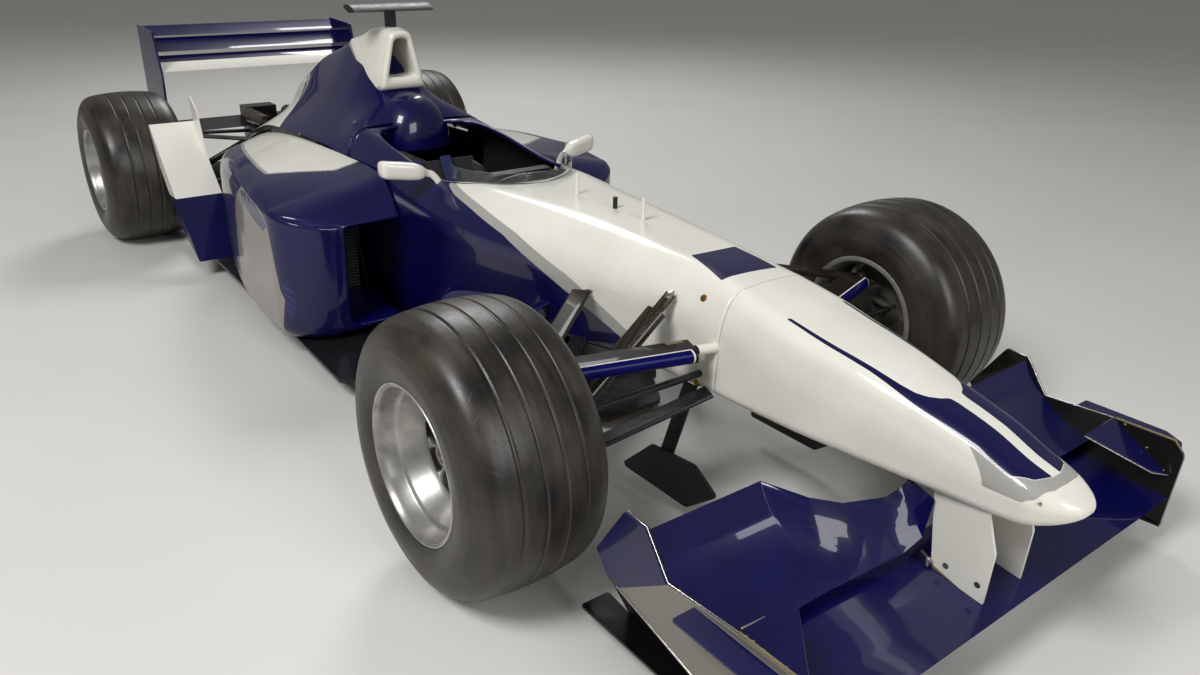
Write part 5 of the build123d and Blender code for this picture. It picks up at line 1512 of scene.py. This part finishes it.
# finish, slot, radius, steps of a smooth line or 0 for a broken one, then the points on the left
BEADS = (
    ("tape", "black_plastic", 3.2, 0, ((904, 655, 262), (884, 655, 287), (742, 655, 285))),
    ("silver_trim", "steel", 1.6, 0, ((742, 655, 285), (562, 655, 272), (497, 655, 358), (438, 655, 361))),
    ("silver_trim", "steel", 2.4, 0, ((420, 661, 177), (575, 661, 138), (860, 661, 66))),
    ("silver_trim", "steel", 1.8, 0, ((741, 648, 288), (741, 508, 281), (870, 605, 209), (893, 646, 200))),
    ("silver_trim", "steel", 1.5, 0, ((642, 660, 269), (642, 714, 271))),
    ("black", "black_plastic", 7.0, 26, (
        (-905, 176, 560), (-905, 150, 606), (-905, 80, 636), (-905, 0, 644))),
    ("plastic", "black_plastic", 2.5, 20, (
        (-806, 0, 637), (-850, 110, 640), (-930, 190, 634), (-1040, 228, 622))),
)
# finish, slot, half width, half thickness, then the points on the left of a strap along the seat
STRAPS = (
    ("webbing", "seat_fabric", 23, 1.6, (
        (-1568, 62, 572), (-1500, 60, 452), (-1400, 50, 272), (-1330, 18, 186))),
    ("webbing", "seat_fabric", 21, 1.6, (
        (-1350, 165, 232), (-1345, 110, 178), (-1328, 50, 150), (-1318, 16, 150))),
)
# finish, slot, radius, height, place on the left and the direction it faces
STUDS = (
    ("cast", "steel", 7, 1.5, (771, 72.5, 180), (0, 1, 0)),
    ("cast", "steel", 7, 1.5, (844, 72.5, 178), (0, 1, 0)),
    ("gold", "steel", 9, 2.5, (83, 143, 567), (0.05, 0.84, 0.54)),
    ("gold", "steel", 9, 2.5, (104, 168, 356), (0.05, 0.98, -0.2)),
    ("silver_trim", "steel", 3.5, 1.0, (926, 74, 416), (0.3, 0.86, 0.41)),
    ("silver_trim", "steel", 3.0, 1.2, (770, 648, 282), (0, -0.3, 1)),
    ("silver_trim", "steel", 3.0, 1.2, (830, 648, 246), (0, -0.3, 1)),
    ("silver_trim", "steel", 3.0, 1.2, (880, 644, 208), (0, -0.3, 1)),
    ("silver_trim", "steel", 2.6, 1.4, (760, 655, 288), (0, 0, 1)),
    ("silver_trim", "steel", 2.6, 1.4, (800, 655, 288), (0, 0, 1)),
    ("silver_trim", "steel", 2.6, 1.4, (850, 655, 289), (0, 0, 1)),
    ("steel", "steel", 5, 2, (-1420, 250, 640), (0, 1, 0.4)),
    ("steel", "steel", 6, 2, (-1700, 232, 706), (0, 0.8, 0.6)),
    ("steel", "steel", 6, 2, (-2100, 297, 600), (0, 1, 0.3)),
    ("steel", "steel", 6, 2, (-2400, 297, 566), (0, 1, 0.3)),
    ("steel", "steel", 16, 4, (-1320, 0.01, 160), (0.4, 0, 1)),
)
# finish, slot, half width and half height of a bar between two places on the left
BARS = (
    ("cast", "cast_metal", 9, 3, ((-281, 205, 486), (-281, 240, 486))),
    ("steel", "steel", 7, 4, ((8, 196, 553), (3, 172, 566))),
    ("plastic", "black_plastic", 12, 30, ((-300, 60, 250), (-180, 60, 250))),
    ("silver_trim", "steel", 4, 12, ((712, 76, 178), (742, 84, 172))),
)
# Share of the radius and of the height at each step from a stud's foot to the middle of its head
STUD_PROFILE = ((1, -1.5), (1, 0.55), (0.94, 0.85), (0.8, 1), (0.35, 0.8), (POLE, 0.75))
STUD_STEPS = 20
TRIM_SHARP_DEG = 50


def stud_surface(radius, height, place, facing):
    """Round head with a softened edge, its foot sunk in, at a place and facing a direction."""
    outward = np.array(facing, float) / np.linalg.norm(facing)
    across = np.cross(outward, (0.3, 0.2, 1.0))
    across /= np.linalg.norm(across)
    upward = np.cross(outward, across)
    reach, rise = (np.array(STUD_PROFILE, float) * (radius, height)).T
    turn = turns(STUD_STEPS)
    ring = across * np.cos(turn)[:, None] + upward * np.sin(turn)[:, None]
    points = np.array(place, float) + ring[None] * reach[:, None, None] + outward * rise[:, None, None]
    return along(points)


class CAR_OT_trim(bpy.types.Operator):
    """Makes beads, straps, studs and small bars, one piece for each finish"""

    bl_idname = "car.trim"
    bl_label = "Trim and fasteners"

    def execute(self, context):
        shapes = []
        for finish, slot, radius, steps, points in BEADS:
            line = smooth_line(points, steps) if steps else points
            shapes.append((finish, slot, capped(along(line), oval(radius, radius, 10), up=(0.1, 0.2, 1))))
        for finish, slot, wide, thick, points in STRAPS:
            line, section = along(smooth_line(points, 30)), oval(wide, thick, 20, 6)
            shapes.append((finish, slot, capped(line, section, up=(1, 0, 0.5), round_off=0.1)))
        for finish, slot, *head in STUDS:
            shapes.append((finish, slot, stud_surface(*head)))
        for finish, slot, wide, high, points in BARS:
            bar = capped(along(points), oval(wide, high, 24, 7), up=(0, 0.1, 1), round_off=0.12)
            shapes.append((finish, slot, bar))
        groups = {}
        for finish, slot, points in shapes:
            groups.setdefault((finish, slot), Sheets()).both(points, wrap_columns=True)
        for (finish, slot), sheets in groups.items():
            crisp(sheets.piece(f"trim_{finish}", (finish,), slot, outward=True), TRIM_SHARP_DEG)
        return {"FINISHED"}


# Finishes, stage and the panel that lists the steps


class CAR_OT_finishes(bpy.types.Operator):
    """Makes the finishes"""

    bl_idname = "car.finishes"
    bl_label = "Finishes"

    def execute(self, context):
        make_materials()
        return {"FINISHED"}


CAMERA_PLACE = (1581.89, -1613.94, 1370.53)
CAMERA_RIGHT = (0.6053, 0.7957, 0.0190)
CAMERA_DOWN = (0.3295, -0.2287, -0.9160)
CAMERA_AHEAD = (-0.7246, 0.5608, -0.4006)
SENSOR_WIDE = 36
# In metres
CAMERA_SEES = 100
FLOOR_REACH = 40
# Place, aim and size of each square lamp in metres, and its share of the key light's power
LAMPS = {
    "key_lamp": ((2.0, -4.5, 5.5), (0, 0, 0.3), 2.2, 1.0),
    "fill_lamp": ((6.5, -0.5, 3.2), (0.5, 0, 0.3), 2.6, 0.4),
    "back_lamp": ((-5.0, 3.0, 5.5), (-1, 0, 0.5), 2.2, 0.6),
}
WORLD_STRENGTH = 0.26


class CAR_OT_stage(bpy.types.Operator):
    """Makes the floor, the lamps, the world and the camera"""

    bl_idname = "car.stage"
    bl_label = "Stage"

    def execute(self, context):
        scene = context.scene
        studio = scene.car_studio
        material, tree, place = start("pale_painted_floor")
        marks = add(tree, "ShaderNodeTexNoise", {"Vector": place, "Scale": pitch(900), "Detail": 5.0})
        tint = add(tree, "ShaderNodeMix", {
            0: marks.outputs[0], 6: linear("#CFCDC8"), 7: linear("#DBD9D4")}, data_type="RGBA").outputs[2]
        surface(tree, Base_Color=tint, Roughness=0.5)
        mesh = bpy.data.meshes.new("floor_sheet")
        reach = FLOOR_REACH
        corners = [(-reach, -reach, 0), (reach, -reach, 0), (reach, reach, 0), (-reach, reach, 0)]
        mesh.from_pydata(corners, [], [(0, 1, 2, 3)])
        mesh.materials.append(material)
        floor = bpy.data.objects.new("studio_floor", mesh)
        scene.collection.objects.link(floor)
        for name, (spot, aim, size, share) in LAMPS.items():
            lamp = bpy.data.lights.new(name, "AREA")
            lamp.shape = "SQUARE"
            lamp.size = size
            lamp.energy = studio.key * share
            obj = bpy.data.objects.new(name, lamp)
            obj.location = spot
            obj.rotation_euler = (Vector(aim) - Vector(spot)).to_track_quat("-Z", "Y").to_euler()
            scene.collection.objects.link(obj)
        world = bpy.data.worlds.new("studio_world")
        world.use_nodes = True
        background = world.node_tree.nodes["Background"]
        background.inputs[0].default_value = (*linear("#E4E4E2"), 1)
        background.inputs[1].default_value = WORLD_STRENGTH
        scene.world = world
        camera = bpy.data.cameras.new("photo_camera")
        camera.sensor_width = SENSOR_WIDE
        camera.lens = studio.lens
        camera.clip_end = CAMERA_SEES
        obj = bpy.data.objects.new("photo_camera", camera)
        turn = np.eye(4)
        turn[:3, 0] = CAMERA_RIGHT
        turn[:3, 1] = -np.array(CAMERA_DOWN)
        turn[:3, 2] = -np.array(CAMERA_AHEAD)
        turn[:3, 3] = at(*CAMERA_PLACE)
        obj.matrix_world = Matrix(turn.tolist())
        scene.collection.objects.link(obj)
        scene.camera = obj
        scene.view_settings.view_transform = "Standard"
        return {"FINISHED"}


class CAR_PT_sidebar(bpy.types.Panel):
    """Lists the steps that dress the car."""

    bl_idname = "CAR_PT_sidebar"
    bl_label = "Racing car"
    bl_space_type = "VIEW_3D"
    bl_region_type = "UI"
    bl_category = "Racing car"

    def draw(self, context):
        column = self.layout.column()
        for step in STEPS:
            column.operator(step.bl_idname)


GROUPS = {"car_colours": BodyColours, "car_wheels": WheelSizes, "car_studio": Studio}
STEPS = (
    CAR_OT_finishes, CAR_OT_stage, CAR_OT_hull, CAR_OT_pods, CAR_OT_cover, CAR_OT_wheels, CAR_OT_mirrors,
    CAR_OT_trim, CAR_OT_dressed,
)


def register():
    for kind in (*GROUPS.values(), *STEPS, CAR_PT_sidebar):
        bpy.utils.register_class(kind)
    for name, kind in GROUPS.items():
        setattr(bpy.types.Scene, name, bpy.props.PointerProperty(type=kind))


def unregister():
    for name in GROUPS:
        delattr(bpy.types.Scene, name)
    for kind in (CAR_PT_sidebar, *reversed(STEPS), *reversed(GROUPS.values())):
        bpy.utils.unregister_class(kind)


def main():
    register()
    for step in STEPS:
        group, name = step.bl_idname.split(".")
        getattr(getattr(bpy.ops, group), name)()


if __name__ == "__main__":
    main()
